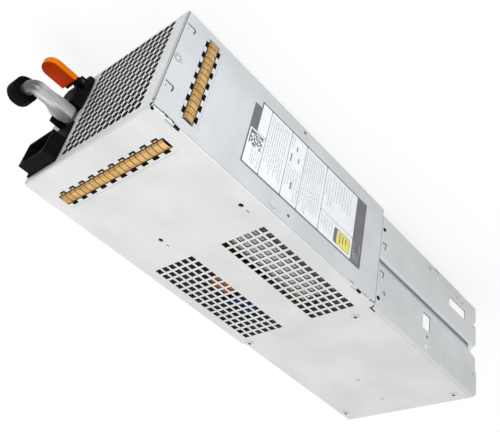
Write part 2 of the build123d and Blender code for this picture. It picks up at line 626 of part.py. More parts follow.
def fan_frame():
    """Square fan frame: two flanges, duct ring, motor seat on four struts and the bearing tube."""
    half = FAN_SIZE / 2
    front, back = FAN_Y, FAN_Y + FAN_DEPTH
    frame = rod(FAN_X, (front, back), FAN_Z, half - 0.4, "y")
    for low in (front, back - FAN_FLANGE):
        flange = block((FAN_X - half, FAN_X + half), (low, low + FAN_FLANGE), (FAN_Z - half, FAN_Z + half))
        frame += fillet(flange.edges().filter_by(Axis.Y), 3.0)
    frame -= rod(FAN_X, (front - 1, back + 1), FAN_Z, FAN_BORE_R, "y")
    for dx in (-FAN_CORNER, FAN_CORNER):
        for dz in (-FAN_CORNER, FAN_CORNER):
            frame -= rod(FAN_X + dx, (front - 1, back + 1), FAN_Z + dz, 2.2, "y")
    strut_t = 3.0
    for angle in (45, 135):
        strut = Rot(0, angle, 0) * Box(2 * FAN_BORE_R + 1, strut_t, 4)
        frame += Pos(FAN_X, front + strut_t / 2, FAN_Z) * strut
    frame += rod(FAN_X, (front, front + strut_t), FAN_Z, FAN_HUB_R, "y")
    frame += rod(FAN_X, (front, front + 22), FAN_Z, FAN_TUBE_R, "y")
    return frame - rod(FAN_X, (front + 1.2, front + 23), FAN_Z, FAN_SHAFT_R + RUN_GAP, "y")


def fan_stator():
    """Wound stator on the bearing tube: four poles and their coils."""
    span = (FAN_Y + 5.0, FAN_Y + 19.0)
    core = rod(FAN_X, span, FAN_Z, 7.5, "y")
    for angle in (0, 90):
        core += Pos(FAN_X, sum(span) / 2, FAN_Z) * Rot(0, angle, 0) * Box(27, 10, 7)
    return core - rod(FAN_X, span, FAN_Z, FAN_TUBE_R, "y")


def fan_blade():
    """One twisted blade along +X from the hub, about a fan axis along Y at the origin."""
    root, tip = FAN_HUB_R - 3.0, FAN_BORE_R
    sections = []
    for radius, pitch, chord in ((root, 48.0, 24.0), (tip, 28.0, 27.0)):
        # A thin cambered section in the plane square to the radius
        camber = [(-0.5, 0.0), (0.0, 0.10), (0.5, 0.0), (0.5, -0.05), (0.0, 0.04), (-0.5, -0.05)]
        turn = math.radians(pitch)
        points = []
        for a, b in camber:
            along_y = chord * (a * math.sin(turn) + b * math.cos(turn))
            across_z = chord * (a * math.cos(turn) - b * math.sin(turn))
            points.append((radius, along_y, across_z))
        sections.append(make_face(Polyline(points, close=True)))
    return loft(sections, ruled=True)


def fan_rotor():
    """Hub cup with its shaft and the ring of blades."""
    front, back = FAN_Y + 3.6, FAN_Y + 33.0
    cup = rod(FAN_X, (front, back), FAN_Z, FAN_HUB_R, "y")
    cup = chamfer(cup.edges().sort_by(Axis.Y)[-1], 1.2)
    cup -= rod(FAN_X, (front - 1, back - 2), FAN_Z, FAN_HUB_R - 2, "y")
    rotor = cup + rod(FAN_X, (FAN_Y + 1.6, back - 1), FAN_Z, FAN_SHAFT_R, "y")
    middle = (front + back) / 2
    sleeve = rod(0, (-30, 30), 0, FAN_BORE_R - FAN_TIP_GAP, "y") - rod(0, (-31, 31), 0, FAN_HUB_R - 1, "y")
    blade = fan_blade() & sleeve
    for index in range(FAN_BLADES):
        rotor += Pos(FAN_X, middle, FAN_Z) * Rot(0, 360 / FAN_BLADES * index, 0) * blade
    return rotor


def fan_pads():
    """Rubber pads that hold the fan between the bottom and the roof."""
    half = FAN_SIZE / 2
    x = (FAN_X - half + 6, FAN_X + half - 6)
    near = (FAN_Y, FAN_Y + FAN_FLANGE)
    far = (FAN_Y + FAN_DEPTH - FAN_FLANGE, FAN_Y + FAN_DEPTH)
    pads = []
    # The near pad's top meets the finger strip's foot under the roof
    for span, top in ((near, ROOF - FINGER_T), (far, ROOF)):
        pads.append(block(x, span, (SHEET, FAN_Z - half)))
        pads.append(block(x, span, (FAN_Z + half, top)))
    return Compound(pads)


def main_board():
    """Main circuit board with its fixing holes."""
    board = block((-BOARD_X, BOARD_X), BOARD_Y, (BOARD_TOP - BOARD_T, BOARD_TOP))
    return board - [rod(x, y, (0, 20), SCREW_R + SEAM, "z") for x, y in STANDOFF_PLACES]


def board_standoffs():
    """Pillars between the bottom and the main board."""
    pillars = []
    for x, y in STANDOFF_PLACES:
        pillar = Pos(x, y, SHEET) * extrude(RegularPolygon(STANDOFF_R, 6), STANDOFF_H)
        pillars.append(pillar - rod(x, y, (SHEET + 2, BOARD_TOP), SCREW_R, "z"))
    return Compound(pillars)


def board_screws():
    """Pan head screws of the main board."""
    screws = []
    for x, y in STANDOFF_PLACES:
        shank = rod(x, y, (SHEET + 2.5, BOARD_TOP), SCREW_R, "z")
        screws.append(shank + rod(x, y, (BOARD_TOP, BOARD_TOP + 1.8), SCREW_HEAD_R, "z"))
    return Compound(screws)


def insulation_sheet():
    """Insulating film under the main board, with holes round the standoffs."""
    film = block((-BOARD_X - 1, BOARD_X + 1), (BOARD_Y[0] - 2, BOARD_Y[1] + 1), (SHEET, SHEET + 0.4))
    return film - [rod(x, y, (0, 5), STANDOFF_R + 0.5, "z") for x, y in STANDOFF_PLACES]


def finned_heatsink(x, y, height, fins):
    """Extruded heatsink: a base slab on the board and upright fins along the air path."""
    slab_t = 3.5
    fin_t = 1.4
    base = block(x, y, (BOARD_TOP, BOARD_TOP + slab_t))
    pitch = (x[1] - x[0] - fin_t) / (fins - 1)
    for index in range(fins):
        low = x[0] + index * pitch
        base += block((low, low + fin_t), y, (BOARD_TOP, BOARD_TOP + height))
    return base


def primary_heatsink():
    """Heatsink seen through the left vent."""
    return finned_heatsink(HEATSINK_X, HEATSINK_Y, HEATSINK_H, 5)


def secondary_heatsink():
    """Lower heatsink along the far wall."""
    return finned_heatsink(SIDE_SINK_X, SIDE_SINK_Y, SIDE_SINK_H, 3)


def transformer_core():
    """Ferrite frame of the main transformer, open at both sides for the winding."""
    x, y = TRANSFORMER_MID
    top = BOARD_TOP + TRANSFORMER_H
    core = block((x - 15, x + 15), (y - 9, y + 9), (BOARD_TOP + 3, top))
    window = block((x - 10, x + 10), (y - 10, y + 10), (BOARD_TOP + 9, top - 6))
    leg = block((x - 4, x + 4), (y - 9, y + 9), (BOARD_TOP + 9, top - 6))
    return core - window + leg


def transformer_winding():
    """Taped winding round the core's middle leg, on a bobbin foot."""
    x, y = TRANSFORMER_MID
    coil = block((x - 9.8, x + 9.8), (y - 15, y + 15), (BOARD_TOP + 9.2, BOARD_TOP + TRANSFORMER_H - 6.2))
    coil = fillet(coil.edges().filter_by(Axis.Z), 4.0)
    coil -= block((x - 4, x + 4), (y - 9, y + 9), (BOARD_TOP, ROOF))
    feet = []
    for side in (-1, 1):
        span = sorted((y + side * 9.2, y + side * 14.0))
        feet.append(block((x - 9, x + 9), span, (BOARD_TOP, BOARD_TOP + 9.2)))
    return coil + feet


def inductor_carrier():
    """Plastic carrier under the ring inductor, hollowed to its wire."""
    x, y = INDUCTOR_MID
    return block((x - 8, x + 8), (y - 8, y + 8), (BOARD_TOP, BOARD_TOP + CARRIER_H)) - inductor_ring()


def inductor_ring():
    """The ring inductor's wound body, standing upright, sunk a little into its carrier."""
    x, y = INDUCTOR_MID
    z = BOARD_TOP + CARRIER_H + INDUCTOR_R - 2
    span = (x - INDUCTOR_W / 2, x + INDUCTOR_W / 2)
    ring = rod(span, y, z, INDUCTOR_R, "x") - rod(span, y, z, INDUCTOR_BORE_R, "x")
    return chamfer(ring.edges().filter_by(GeomType.CIRCLE), INDUCTOR_W * 0.22)


def bulk_capacitors():
    """Tall electrolytic cans with a rolled groove."""
    cans = []
    for x, y in BULK_PLACES:
        can = rod(x, y, (BOARD_TOP, BOARD_TOP + BULK_H), BULK_R, "z")
        groove = rod(x, y, (BOARD_TOP + 3, BOARD_TOP + 4.6), BULK_R + 1, "z")
        cans.append(can - (groove - rod(x, y, (0, CASE_H), BULK_R - 0.8, "z")))
    return Compound(cans)


def film_capacitors():
    """Blue box capacitors in a row near the inner end."""
    boxes = []
    for index in range(2):
        y = FILM_Y + index * 10.0
        boxes.append(block(FILM_X, (y, y + 9.0), (BOARD_TOP, BOARD_TOP + FILM_H)))
    return Compound([chamfer(body.edges().group_by(Axis.Z)[-1], 0.6) for body in boxes])


def filter_choke():
    """Common mode choke's core: an upright ferrite frame on the filter board."""
    x, y = CHOKE_MID
    outer = CHOKE_W / 2 - 3.4
    inner = outer - 4.5
    core = block((x - outer, x + outer), (y - 5, y + 5), (CHOKE_FOOT, CHOKE_FOOT + 30))
    return core - block((x - inner, x + inner), (y - 6, y + 6), (CHOKE_FOOT + 4, CHOKE_FOOT + 26))


def filter_windings():
    """Copper windings on the choke's two legs."""
    x, y = CHOKE_MID
    coils = []
    for side in (-1, 1):
        inner, outer = sorted((x + side * 1.0, x + side * CHOKE_W / 2))
        coil = block((inner, outer), (y - 8, y + 8), (CHOKE_FOOT + 4.2, CHOKE_FOOT + 25.8))
        coil = fillet(coil.edges().filter_by(Axis.Z), 3.0)
        leg = sorted((x + side * (CHOKE_W / 2 - 7.9), x + side * (CHOKE_W / 2 - 3.4)))
        coils.append(coil - block(leg, (y - 5, y + 5), (0, CASE_H)))
    return Compound(coils)


def filter_board():
    """Small filter board beside the fan, on the bottom by its own feet."""
    board = block(FILTER_X, FILTER_Y, (CHOKE_FOOT - BOARD_T, CHOKE_FOOT))
    for x in (FILTER_X[0] + 2.5, FILTER_X[1] - 2.5):
        for y in (FILTER_Y[0] + 2.5, FILTER_Y[1] - 2.5):
            board += rod(x, y, (SHEET, CHOKE_FOOT - BOARD_T), 2.0, "z")
    return board


def power_transistors():
    """Power packages clamped to the primary heatsink's outer fin."""
    packages = []
    fin = HEATSINK_X[0]
    for index in range(3):
        y = HEATSINK_Y[0] + 10.0 + index * 22
        body = block((fin - 4.6, fin), (y, y + 15.6), (BOARD_TOP + 8, BOARD_TOP + 28))
        for step in (-5.0, 0.0, 5.0):
            middle = y + 7.8 + step
            body += block((fin - 3.2, fin - 2.4), (middle - 0.5, middle + 0.5), (BOARD_TOP, BOARD_TOP + 8))
        packages.append(body)
    return Compound(packages)


def bus_bars():
    """Copper bars from the main board, through the bulkhead, up to the output board."""
    far = BODY_L + 11.0
    outline = [(BUS_Y, BOARD_TOP), (BUS_Y + BUS_T, BOARD_TOP), (BUS_Y + BUS_T, BUS_LEVEL - BUS_T),
               (far, BUS_LEVEL - BUS_T), (far, OUT_BOARD_Z), (far - BUS_T, OUT_BOARD_Z),
               (far - BUS_T, BUS_LEVEL), (BUS_Y, BUS_LEVEL)]
    return Compound([prism(outline, "x", low, high) for low, high in BUS_X])


def bulkhead():
    """Inner end wall of the body with its way for the bus bars."""
    wall = block((-INNER_W, INNER_W), (BULKHEAD_Y, BULKHEAD_Y + SHEET), (SHEET, ROOF))
    wall = chamfer(wall.edges().filter_by(Axis.Y).group_by(Axis.Z)[0], BEND_R - SHEET)
    slot = block((BUS_X[0][0] - BUS_SLOT_GAP, BUS_X[1][1] + BUS_SLOT_GAP), (BULKHEAD_Y - 1, BODY_L + 1),
                 (BUS_LEVEL - BUS_T - BUS_SLOT_GAP, BUS_LEVEL + BUS_SLOT_GAP))
    return wall - slot


def output_board():
    """Output board under the tongue's roof."""
    board = block((-OUT_BOARD_X, OUT_BOARD_X), OUT_BOARD_Y, (OUT_BOARD_Z, OUT_BOARD_Z + BOARD_T))
    return board - [rod(x, y, (OUT_BOARD_Z - 1, CASE_H), SCREW_R + SEAM, "z") for x, y in OUT_SCREWS]


def output_spacers():
    """Threaded spacers between the output board and the roof."""
    spacers = []
    for x, y in OUT_SCREWS:
        spacer = rod(x, y, (OUT_BOARD_Z + BOARD_T, ROOF), 2.9, "z")
        spacers.append(spacer - rod(x, y, (OUT_BOARD_Z, CASE_H), SCREW_R, "z"))
    return Compound(spacers)


def case_screws():
    """Low head screws through the top into the spacers, and one in each side of the cover."""
    screws = []
    for x, y in OUT_SCREWS:
        screw = rod(x, y, (ROOF - 4, CASE_H), SCREW_R, "z")
        screws.append(screw + rod(x, y, (CASE_H, CASE_H + SCREW_HEAD_H), SCREW_HEAD_R, "z"))
    return Compound(screws)


def side_screws():
    """Flat screws in the cover's sides, each with its square clinch nut inside."""
    screws = []
    for side in (-1, 1):
        shank = sorted((side * HALF_W, side * (INNER_W - 4)))
        head = sorted((side * HALF_W, side * (HALF_W + SCREW_HEAD_H)))
        nut = sorted((side * INNER_W, side * (INNER_W - 3)))
        screw = rod(shank, COVER_SCREW_Y, COVER_SCREW_Z, SCREW_R, "x")
        screw += rod(head, COVER_SCREW_Y, COVER_SCREW_Z, SCREW_HEAD_R, "x")
        half = CLINCH_NUT / 2
        square = [(place - half, place + half) for place in (COVER_SCREW_Y, COVER_SCREW_Z)]
        screw += block(nut, *square)
        screws.append(screw)
    return Compound(screws)


def output_connector():
    """Black connector body on the output board."""
    body = block((-CONNECTOR_X, CONNECTOR_X), CONNECTOR_Y, CONNECTOR_Z)
    body = chamfer(body.edges().filter_by(Axis.Y).group_by(Axis.Z)[0], 1.2)
    holes = []
    for index in range(POWER_BLADES):
        holes.append(power_blade(index, CONNECTOR_Y[0] - 1))
    return body - holes


def power_blade(index, low_y):
    """One upright output blade from a given y out to the tongue's end."""
    pitch = 2 * (CONNECTOR_X - 6) / (POWER_BLADES - 1)
    x = -CONNECTOR_X + 6 + index * pitch
    middle = sum(CONNECTOR_Z) / 2 - 1
    half = POWER_BLADE_T / 2
    tall = POWER_BLADE_H / 2
    return block((x - half, x + half), (low_y, CASE_L - 1.5), (middle - tall, middle + tall))


def output_blades():
    """Silvered copper output blades."""
    return Compound([power_blade(index, CONNECTOR_Y[0] + 2) for index in range(POWER_BLADES)])


def output_capacitors():
    """Low cans hanging from the output board."""
    cans = []
    for row in range(2):
        for index in range(5):
            x = -24.0 + index * 14.0
            y = BODY_L + 35.0 + row * 26.0
            cans.append(rod(x, y, (OUT_BOARD_Z - 20, OUT_BOARD_Z), 5.0, "z"))
    return Compound(cans)


def rating_label():
    """Bare rating plate on the label side, with its stepped corner."""
    low_y, high_y = LABEL_Y
    low_z, high_z = LABEL_Z
    step = LABEL_STEP
    outline = [(low_y + step, low_z), (high_y, low_z), (high_y, high_z), (low_y, high_z),
               (low_y, low_z + step), (low_y + step, low_z + step)]
    return prism(outline, "x", -HALF_W - LABEL_T, -HALF_W)


PIECES = {
    "chassis": chassis,
    "cover": cover,
    "locating_tabs": locating_tabs,
    "inlet_housing": inlet_housing,
    "inlet_blades": inlet_blades,
    "latch_bracket": latch_bracket,
    "latch_pin": latch_pin,
    "latch_spring": latch_spring,
    "latch_lever": latch_lever,
    "latch_tab": latch_tab,
    "handle_arm": handle_arm,
    "handle_pin": handle_pin,
    "strap_roll": strap_roll,
    "fan_frame": fan_frame,
    "fan_stator": fan_stator,
    "fan_rotor": fan_rotor,
    "fan_pads": fan_pads,
    "main_board": main_board,
    "board_standoffs": board_standoffs,
    "board_screws": board_screws,
    "insulation_sheet": insulation_sheet,
    "primary_heatsink": primary_heatsink,
    "secondary_heatsink": secondary_heatsink,
    "power_transistors": power_transistors,
    "transformer_core": transformer_core,
    "transformer_winding": transformer_winding,
    "inductor_carrier": inductor_carrier,
    "ring_inductor": inductor_ring,
    "bulk_capacitors": bulk_capacitors,
    "film_capacitors": film_capacitors,
    "filter_board": filter_board,
    "filter_choke": filter_choke,
    "filter_windings": filter_windings,
    "bus_bars": bus_bars,
    "bulkhead": bulkhead,
    "output_board": output_board,
    "output_spacers": output_spacers,
    "case_screws": case_screws,
    "side_screws": side_screws,
    "output_connector": output_connector,
    "output_blades": output_blades,
    "output_capacitors": output_capacitors,
    "rating_label": rating_label,
    "top_finger_strip": lambda: TOP_STRIP_PLACE * finger_strip(TOP_FINGERS),
    "side_finger_strip": lambda: SIDE_STRIP_PLACE * finger_strip(SIDE_FINGERS),
}

for name, make in PIECES.items():
    export_step(Pos(0, -BODY_L / 2, 0) * make(), f"parts/{name}.step")
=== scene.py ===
import json
import math
import random

import bmesh
import bpy
from mathutils import Matrix, Vector


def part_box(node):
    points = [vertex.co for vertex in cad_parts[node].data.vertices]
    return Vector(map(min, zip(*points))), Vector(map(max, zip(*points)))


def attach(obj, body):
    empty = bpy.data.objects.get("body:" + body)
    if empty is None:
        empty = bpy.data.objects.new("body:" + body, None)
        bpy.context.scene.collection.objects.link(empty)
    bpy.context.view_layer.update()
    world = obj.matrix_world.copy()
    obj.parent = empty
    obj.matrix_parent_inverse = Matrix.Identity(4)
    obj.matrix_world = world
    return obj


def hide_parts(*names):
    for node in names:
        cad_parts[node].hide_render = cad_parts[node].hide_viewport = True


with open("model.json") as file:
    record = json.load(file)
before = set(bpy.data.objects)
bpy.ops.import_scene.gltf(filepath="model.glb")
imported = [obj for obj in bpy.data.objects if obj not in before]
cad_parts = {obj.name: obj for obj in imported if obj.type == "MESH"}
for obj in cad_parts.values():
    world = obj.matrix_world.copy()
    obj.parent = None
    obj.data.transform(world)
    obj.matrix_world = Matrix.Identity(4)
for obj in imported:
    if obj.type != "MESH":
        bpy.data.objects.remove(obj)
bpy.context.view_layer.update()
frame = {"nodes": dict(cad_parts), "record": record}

# Lengths below are in millimetres from the mesh end: +X right, +Y inward, +Z up.
MM = 0.001
MESH_END_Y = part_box("chassis")[0].y
HALF_W = 60.0
CASE_H = 85.0

# Marks on the sheets: how far they stand proud and how deep they are set
PRINT_T = 0.03
MARK_SINK = -0.02
HOLE_SINK = -0.9

# Rating label
LABEL_Y = (64.2, 182.8)
LABEL_Z = (13.0, 69.2)
LABEL_T = 0.15

# Spring finger strips, and the notches on both sides of each
STRIP_Y = 23.2
TOP_STRIP_X = 0.6
SIDE_STRIP_Z = 41.4
NOTCH_PITCH = 9.5
NOTCH_L = 4.9
NOTCH_D = 1.9
NOTCH_OFF = 5.05

# Tabs and slots along the upper edge of the label side: (low, high) along Y
EDGE_TABS_Y = ((10.4, 16.2), (177.5, 183.0))
EDGE_SLOTS_Y = ((16.2, 20.4), (183.0, 187.5))
EDGE_X = (-59.97, -58.9)

# Dimples and screws, by their two coordinates on the face
SIDE_DIMPLE = (4.1, 41.0)
SIDE_SCREW = (96.3, 78.2)
WALL_DIMPLE = (267.4, 72.7)
TOP_SCREWS = ((-40.6, 209.0), (53.7, 204.8), (52.9, 326.5), (-45.9, 329.5))

# Vents, and the guide groove in the tongue's walls
VENT_MID_Y = 151.0
VENT_REACH = 49.5
COVER_END_Y = 203.2
GROOVE_Z = 47.5
FLANK_Z = 43.3
GROOVE_END_Y = 323.5
TIP_END_Y = 332.0

# Handle: its bar, and its pin's bore
BAR_REACH_Y = -32.0
BAR_Z = 40.5
BAR_END_X = 49.5
PIN_X = 34.0
PIN_Y = -5.2
BORE_R = 2.45


def at(x, y, z):
    """A point in the frame, in metres."""
    return Vector((x * MM, MESH_END_Y + y * MM, z * MM))


def on_top(x, y, lift):
    """A point on the top, lifted off it."""
    return at(x, y, CASE_H + lift)


def on_side(y, z, lift):
    """A point on the label side."""
    return at(-HALF_W - lift, y, z)


def on_label(y, z, lift):
    """A point on the label's film."""
    return at(-HALF_W - LABEL_T - lift, y, z)


def on_end(x, z, lift):
    """A point on the mesh end."""
    return at(x, -lift, z)


# Materials

# Painted shade for the floors of pressed dimples
DIMPLE_SHADE = (0.45, 0.48, 0.52)


class Finish:
    """A procedural material whose patterns follow the object's own coordinates in metres."""

    def __init__(self, name, colour, metallic=0.0, roughness=0.5, **sockets):
        self.material = bpy.data.materials.new(name)
        self.material.use_nodes = True
        self.nodes = self.material.node_tree.nodes
        self.links = self.material.node_tree.links
        self.shader = self.nodes["Principled BSDF"]
        self.shader.inputs["Base Color"].default_value = (*colour, 1)
        self.shader.inputs["Metallic"].default_value = metallic
        self.shader.inputs["Roughness"].default_value = roughness
        for socket, value in sockets.items():
            self.shader.inputs[socket.replace("_", " ")].default_value = value
        self.place = self.nodes.new("ShaderNodeTexCoord").outputs["Object"]

    def stretched(self, stretch):
        """The object's coordinates, scaled along each axis."""
        mapping = self.nodes.new("ShaderNodeMapping")
        mapping.inputs["Scale"].default_value = stretch
        self.links.new(self.place, mapping.inputs["Vector"])
        return mapping.outputs["Vector"]

    def noise(self, size, stretch=(1, 1, 1), detail=3.0):
        """Cloudy noise with blotches of a size in millimetres."""
        texture = self.nodes.new("ShaderNodeTexNoise")
        texture.inputs["Scale"].default_value = 1 / (size * MM)
        texture.inputs["Detail"].default_value = detail
        texture.inputs["Roughness"].default_value = 0.55
        self.links.new(self.stretched(stretch), texture.inputs["Vector"])
        return texture.outputs["Fac"]

    def cells(self, size, stretch=(1, 1, 1)):
        """Cellular pattern with cells of a size in millimetres."""
        texture = self.nodes.new("ShaderNodeTexVoronoi")
        texture.inputs["Scale"].default_value = 1 / (size * MM)
        self.links.new(self.stretched(stretch), texture.inputs["Vector"])
        return texture.outputs["Distance"]

    def bands(self, size, axis):
        """Regular ridges of a pitch in millimetres across one axis."""
        texture = self.nodes.new("ShaderNodeTexWave")
        texture.bands_direction = axis
        # At a scale of one, the texture's ridges are a twentieth of a full turn apart
        texture.inputs["Scale"].default_value = math.tau / 20 / (size * MM)
        self.links.new(self.place, texture.inputs["Vector"])
        return texture.outputs["Fac"]

    def spread(self, value, low, high, to_low, to_high):
        """A value moved from one range to another."""
        node = self.nodes.new("ShaderNodeMapRange")
        ends = {"From Min": low, "From Max": high, "To Min": to_low, "To Max": to_high}
        for socket, number in ends.items():
            node.inputs[socket].default_value = number
        self.links.new(value, node.inputs["Value"])
        return node.outputs["Result"]

    def beyond(self, value, start, stop):
        """Nought below a start and one above a stop, both in millimetres."""
        return self.spread(value, start * MM, stop * MM, 0.0, 1.0)

    def short_of(self, value, start, stop):
        """One below a start and nought above a stop, both in millimetres."""
        return self.spread(value, start * MM, stop * MM, 1.0, 0.0)

    def colour(self, value, dark, light, low=0.3, high=0.7):
        """Base colour between two tones."""
        node = self.nodes.new("ShaderNodeValToRGB")
        ends = node.color_ramp.elements
        ends[0].position, ends[0].color = low, (*dark, 1)
        ends[1].position, ends[1].color = high, (*light, 1)
        self.links.new(value, node.inputs["Fac"])
        self.links.new(node.outputs["Color"], self.shader.inputs["Base Color"])

    def paint_crease_shade(self, reach, darkest):
        """Darkens creases, seams and rims within a reach in millimetres: painted shade, deeper
        where a point is more closed in.
        """
        closeness = self.nodes.new("ShaderNodeAmbientOcclusion")
        closeness.samples = 8
        closeness.inputs["Distance"].default_value = reach * MM
        shade = self.spread(closeness.outputs["AO"], 0.35, 0.95, darkest, 1.0)
        mix = self.nodes.new("ShaderNodeMix")
        mix.data_type = "RGBA"
        mix.blend_type = "MULTIPLY"
        mix.inputs["Factor"].default_value = 1.0
        base = self.shader.inputs["Base Color"]
        self.links.new(base.links[0].from_socket, mix.inputs["A"])
        self.links.new(shade, mix.inputs["B"])
        self.links.new(mix.outputs["Result"], base)

    def second_tone(self, value, tone, low, high):
        """Blends the base colour into another tone where a value is high."""
        mix = self.nodes.new("ShaderNodeMix")
        mix.data_type = "RGBA"
        base = self.shader.inputs["Base Color"]
        self.links.new(base.links[0].from_socket, mix.inputs["A"])
        mix.inputs["B"].default_value = (*tone, 1)
        self.links.new(self.spread(value, low, high, 0.0, 1.0), mix.inputs["Factor"])
        self.links.new(mix.outputs["Result"], base)

    def axis_of(self, source, axis):
        """One coordinate of the object's own position or normal."""
        vector = self.nodes.new("ShaderNodeTexCoord").outputs[source]
        parts = self.nodes.new("ShaderNodeSeparateXYZ")
        self.links.new(vector, parts.inputs["Vector"])
        return parts.outputs[axis]

    def math(self, operation, first, second=0.0):
        """The result of an operation on numbers or on outputs of nodes."""
        node = self.nodes.new("ShaderNodeMath")
        node.operation = operation
        for socket, value in zip(node.inputs, (first, second)):
            if isinstance(value, (int, float)):
                socket.default_value = value
            else:
                self.links.new(value, socket)
        return node.outputs[0]

    def away(self, value, middle=0.0):
        """How far a value lies from a middle in millimetres, to either side."""
        return self.math("ABSOLUTE", self.math("SUBTRACT", value, middle * MM))

    def all_of(self, first, *others):
        """One where every value is one."""
        for other in others:
            first = self.math("MULTIPLY", first, other)
        return first

    def near(self, spot, radius, edge):
        """One inside a ball round a spot, falling to nought over an edge in millimetres."""
        node = self.nodes.new("ShaderNodeVectorMath")
        node.operation = "DISTANCE"
        node.inputs[1].default_value = spot
        self.links.new(self.place, node.inputs[0])
        return self.short_of(node.outputs["Value"], radius - edge, radius)

    def dimple(self, spot, radius, depth, tone):
        """A round pressed dimple with a rounded rim, and a floor painted in a given tone: painted
        shade where it is darker than the sheet, painted highlight where it is paler.
        """
        pressed = self.near(spot, radius, radius * 0.45)
        self.second_tone(pressed, tone, 0.0, 1.0)
        self.bump(pressed, -depth)

    def rough(self, value, smooth, coarse):
        """Roughness between two levels."""
        level = self.spread(value, 0.3, 0.7, smooth, coarse)
        self.links.new(level, self.shader.inputs["Roughness"])

    def bump(self, value, depth, strength=1.0):
        """Surface relief of a depth in millimetres, over any relief already there."""
        node = self.nodes.new("ShaderNodeBump")
        node.inputs["Strength"].default_value = strength
        node.inputs["Distance"].default_value = depth * MM
        normal = self.shader.inputs["Normal"]
        if normal.is_linked:
            self.links.new(normal.links[0].from_socket, node.inputs["Normal"])
        self.links.new(value, node.inputs["Height"])
        self.links.new(node.outputs["Normal"], normal)


def zinc_sheet(name, dark, light, grain_along, dimples):
    """Satin zinc-coated sheet: soft cloudy tone, fine rolling grain and faint handling marks."""
    finish = Finish(name, light, metallic=0.3)
    finish.colour(finish.noise(38, detail=4), dark, light, 0.35, 0.65)
    finish.rough(finish.noise(9, grain_along, 4), 0.5, 0.62)
    finish.bump(finish.noise(0.5, grain_along, 2), 0.006, 0.6)
    finish.bump(finish.noise(30, detail=1), 0.12, 0.35)
    # Dimple floors in painted shade and painted highlight
    for spot, radius, depth, tone in dimples:
        finish.dimple(spot, radius, depth, tone)
    return finish


def paint_hole_wall_shade(finish):
    """Paints shade on the walls of the punched holes in the mesh end and in the vents: they are
    coloured near black.
    """
    along = finish.math("SUBTRACT", finish.axis_of("Object", "Y"), MESH_END_Y)
    facing_end = finish.away(finish.axis_of("Normal", "Y"))
    in_end = finish.short_of(along, 0.9, 1.1)
    end_wall = finish.all_of(in_end, finish.spread(facing_end, 0.3, 0.6, 1.0, 0.0))
    finish.second_tone(end_wall, (0.02, 0.019, 0.02), 0.4, 0.6)
    facing_up = finish.away(finish.axis_of("Normal", "Z"))
    upright = finish.spread(facing_up, 0.2, 0.5, 1.0, 0.0)
    in_top = finish.beyond(finish.axis_of("Object", "Z"), CASE_H - 1.1, CASE_H - 0.95)
    off_edges = finish.short_of(finish.away(finish.axis_of("Object", "X")), 54.0, 55.0)
    by_vents = finish.short_of(finish.away(along, VENT_MID_Y), VENT_REACH, VENT_REACH + 0.5)
    vent_wall = finish.all_of(in_top, off_edges, upright, by_vents)
    finish.second_tone(vent_wall, (0.05, 0.05, 0.045), 0.4, 0.6)


def paint_groove_light(finish):
    """Paints light and shade into the groove in the tongue's walls: painted shade on its floor,
    painted highlight on its upper flank and at its tip.
    """
    along = finish.math("SUBTRACT", finish.axis_of("Object", "Y"), MESH_END_Y)
    height = finish.axis_of("Object", "Z")
    sideways = finish.away(finish.axis_of("Object", "X"))
    outside = finish.beyond(sideways, HALF_W - 3.0, HALF_W - 2.6)
    on_wall = finish.all_of(outside, finish.beyond(along, COVER_END_Y, COVER_END_Y + 0.2))
    floor = finish.all_of(on_wall, finish.short_of(finish.away(height, GROOVE_Z), 2.4, 2.9))
    before_tip = finish.short_of(along, GROOVE_END_Y, GROOVE_END_Y + 3.0)
    finish.second_tone(finish.all_of(floor, before_tip), (0.56, 0.58, 0.595), 0.0, 1.0)
    flank = finish.all_of(on_wall, finish.short_of(finish.away(height, FLANK_Z), 0.8, 1.5))
    finish.second_tone(flank, (0.76, 0.79, 0.80), 0.0, 1.6)
    before_end = finish.short_of(along, TIP_END_Y, TIP_END_Y + 2.0)
    tip = finish.all_of(floor, finish.math("SUBTRACT", before_end, before_tip))
    finish.second_tone(tip, (0.80, 0.86, 0.86), 0.0, 1.0)


def chassis_sheet():
    """The bent sheet of the top, the mesh end and the tongue."""
    # Dimple floors: painted highlight at the screws and on the raised dimple, painted shade on the
    # others
    dimples = [(at(x, y, CASE_H), 4.4, 0.4, (0.80, 0.81, 0.81)) for x, y in TOP_SCREWS]
    for y, z, radius, depth, tone in ((212.5, 69.5, 2.6, 0.4, DIMPLE_SHADE),
                                      (267.0, 81.0, 2.4, -0.3, (0.82, 0.84, 0.86)),
                                      (267.0, 11.7, 2.0, 0.3, DIMPLE_SHADE),
                                      (*WALL_DIMPLE, 2.0, 0.3, DIMPLE_SHADE)):
        dimples.append((at(-HALF_W, y, z), radius, depth, tone))
    finish = zinc_sheet("zinc_top", (0.63, 0.63, 0.62), (0.70, 0.70, 0.69), (1, 0.06, 1), dimples)
    paint_hole_wall_shade(finish)
    paint_groove_light(finish)
    finish.paint_crease_shade(2.5, 0.45)
    return finish.material


def cover_sheet():
    """The bent sheet of the label side, the bottom and the far side."""
    # Dimple floors: painted shade in the pressed dimple, painted highlight round the screw
    dimples = [(at(-HALF_W, *SIDE_DIMPLE), 4.0, 0.5, DIMPLE_SHADE),
               (at(-HALF_W, *SIDE_SCREW), 3.6, 0.2, (0.74, 0.77, 0.80))]
    finish = zinc_sheet("zinc_side", (0.63, 0.63, 0.63), (0.70, 0.70, 0.70), (1, 1, 0.06), dimples)
    finish.paint_crease_shade(2.5, 0.45)
    return finish.material


def plastic(name, dark, light, roughness, gloss=0.5):
    """Moulded plastic with a fine spark-eroded grain."""
    finish = Finish(name, light, roughness=roughness, Specular_IOR_Level=gloss)
    finish.colour(finish.noise(6, detail=3), dark, light)
    finish.rough(finish.noise(2.5), roughness - 0.07, roughness + 0.08)
    finish.bump(finish.cells(0.35), 0.01, 0.5)
    return finish.material


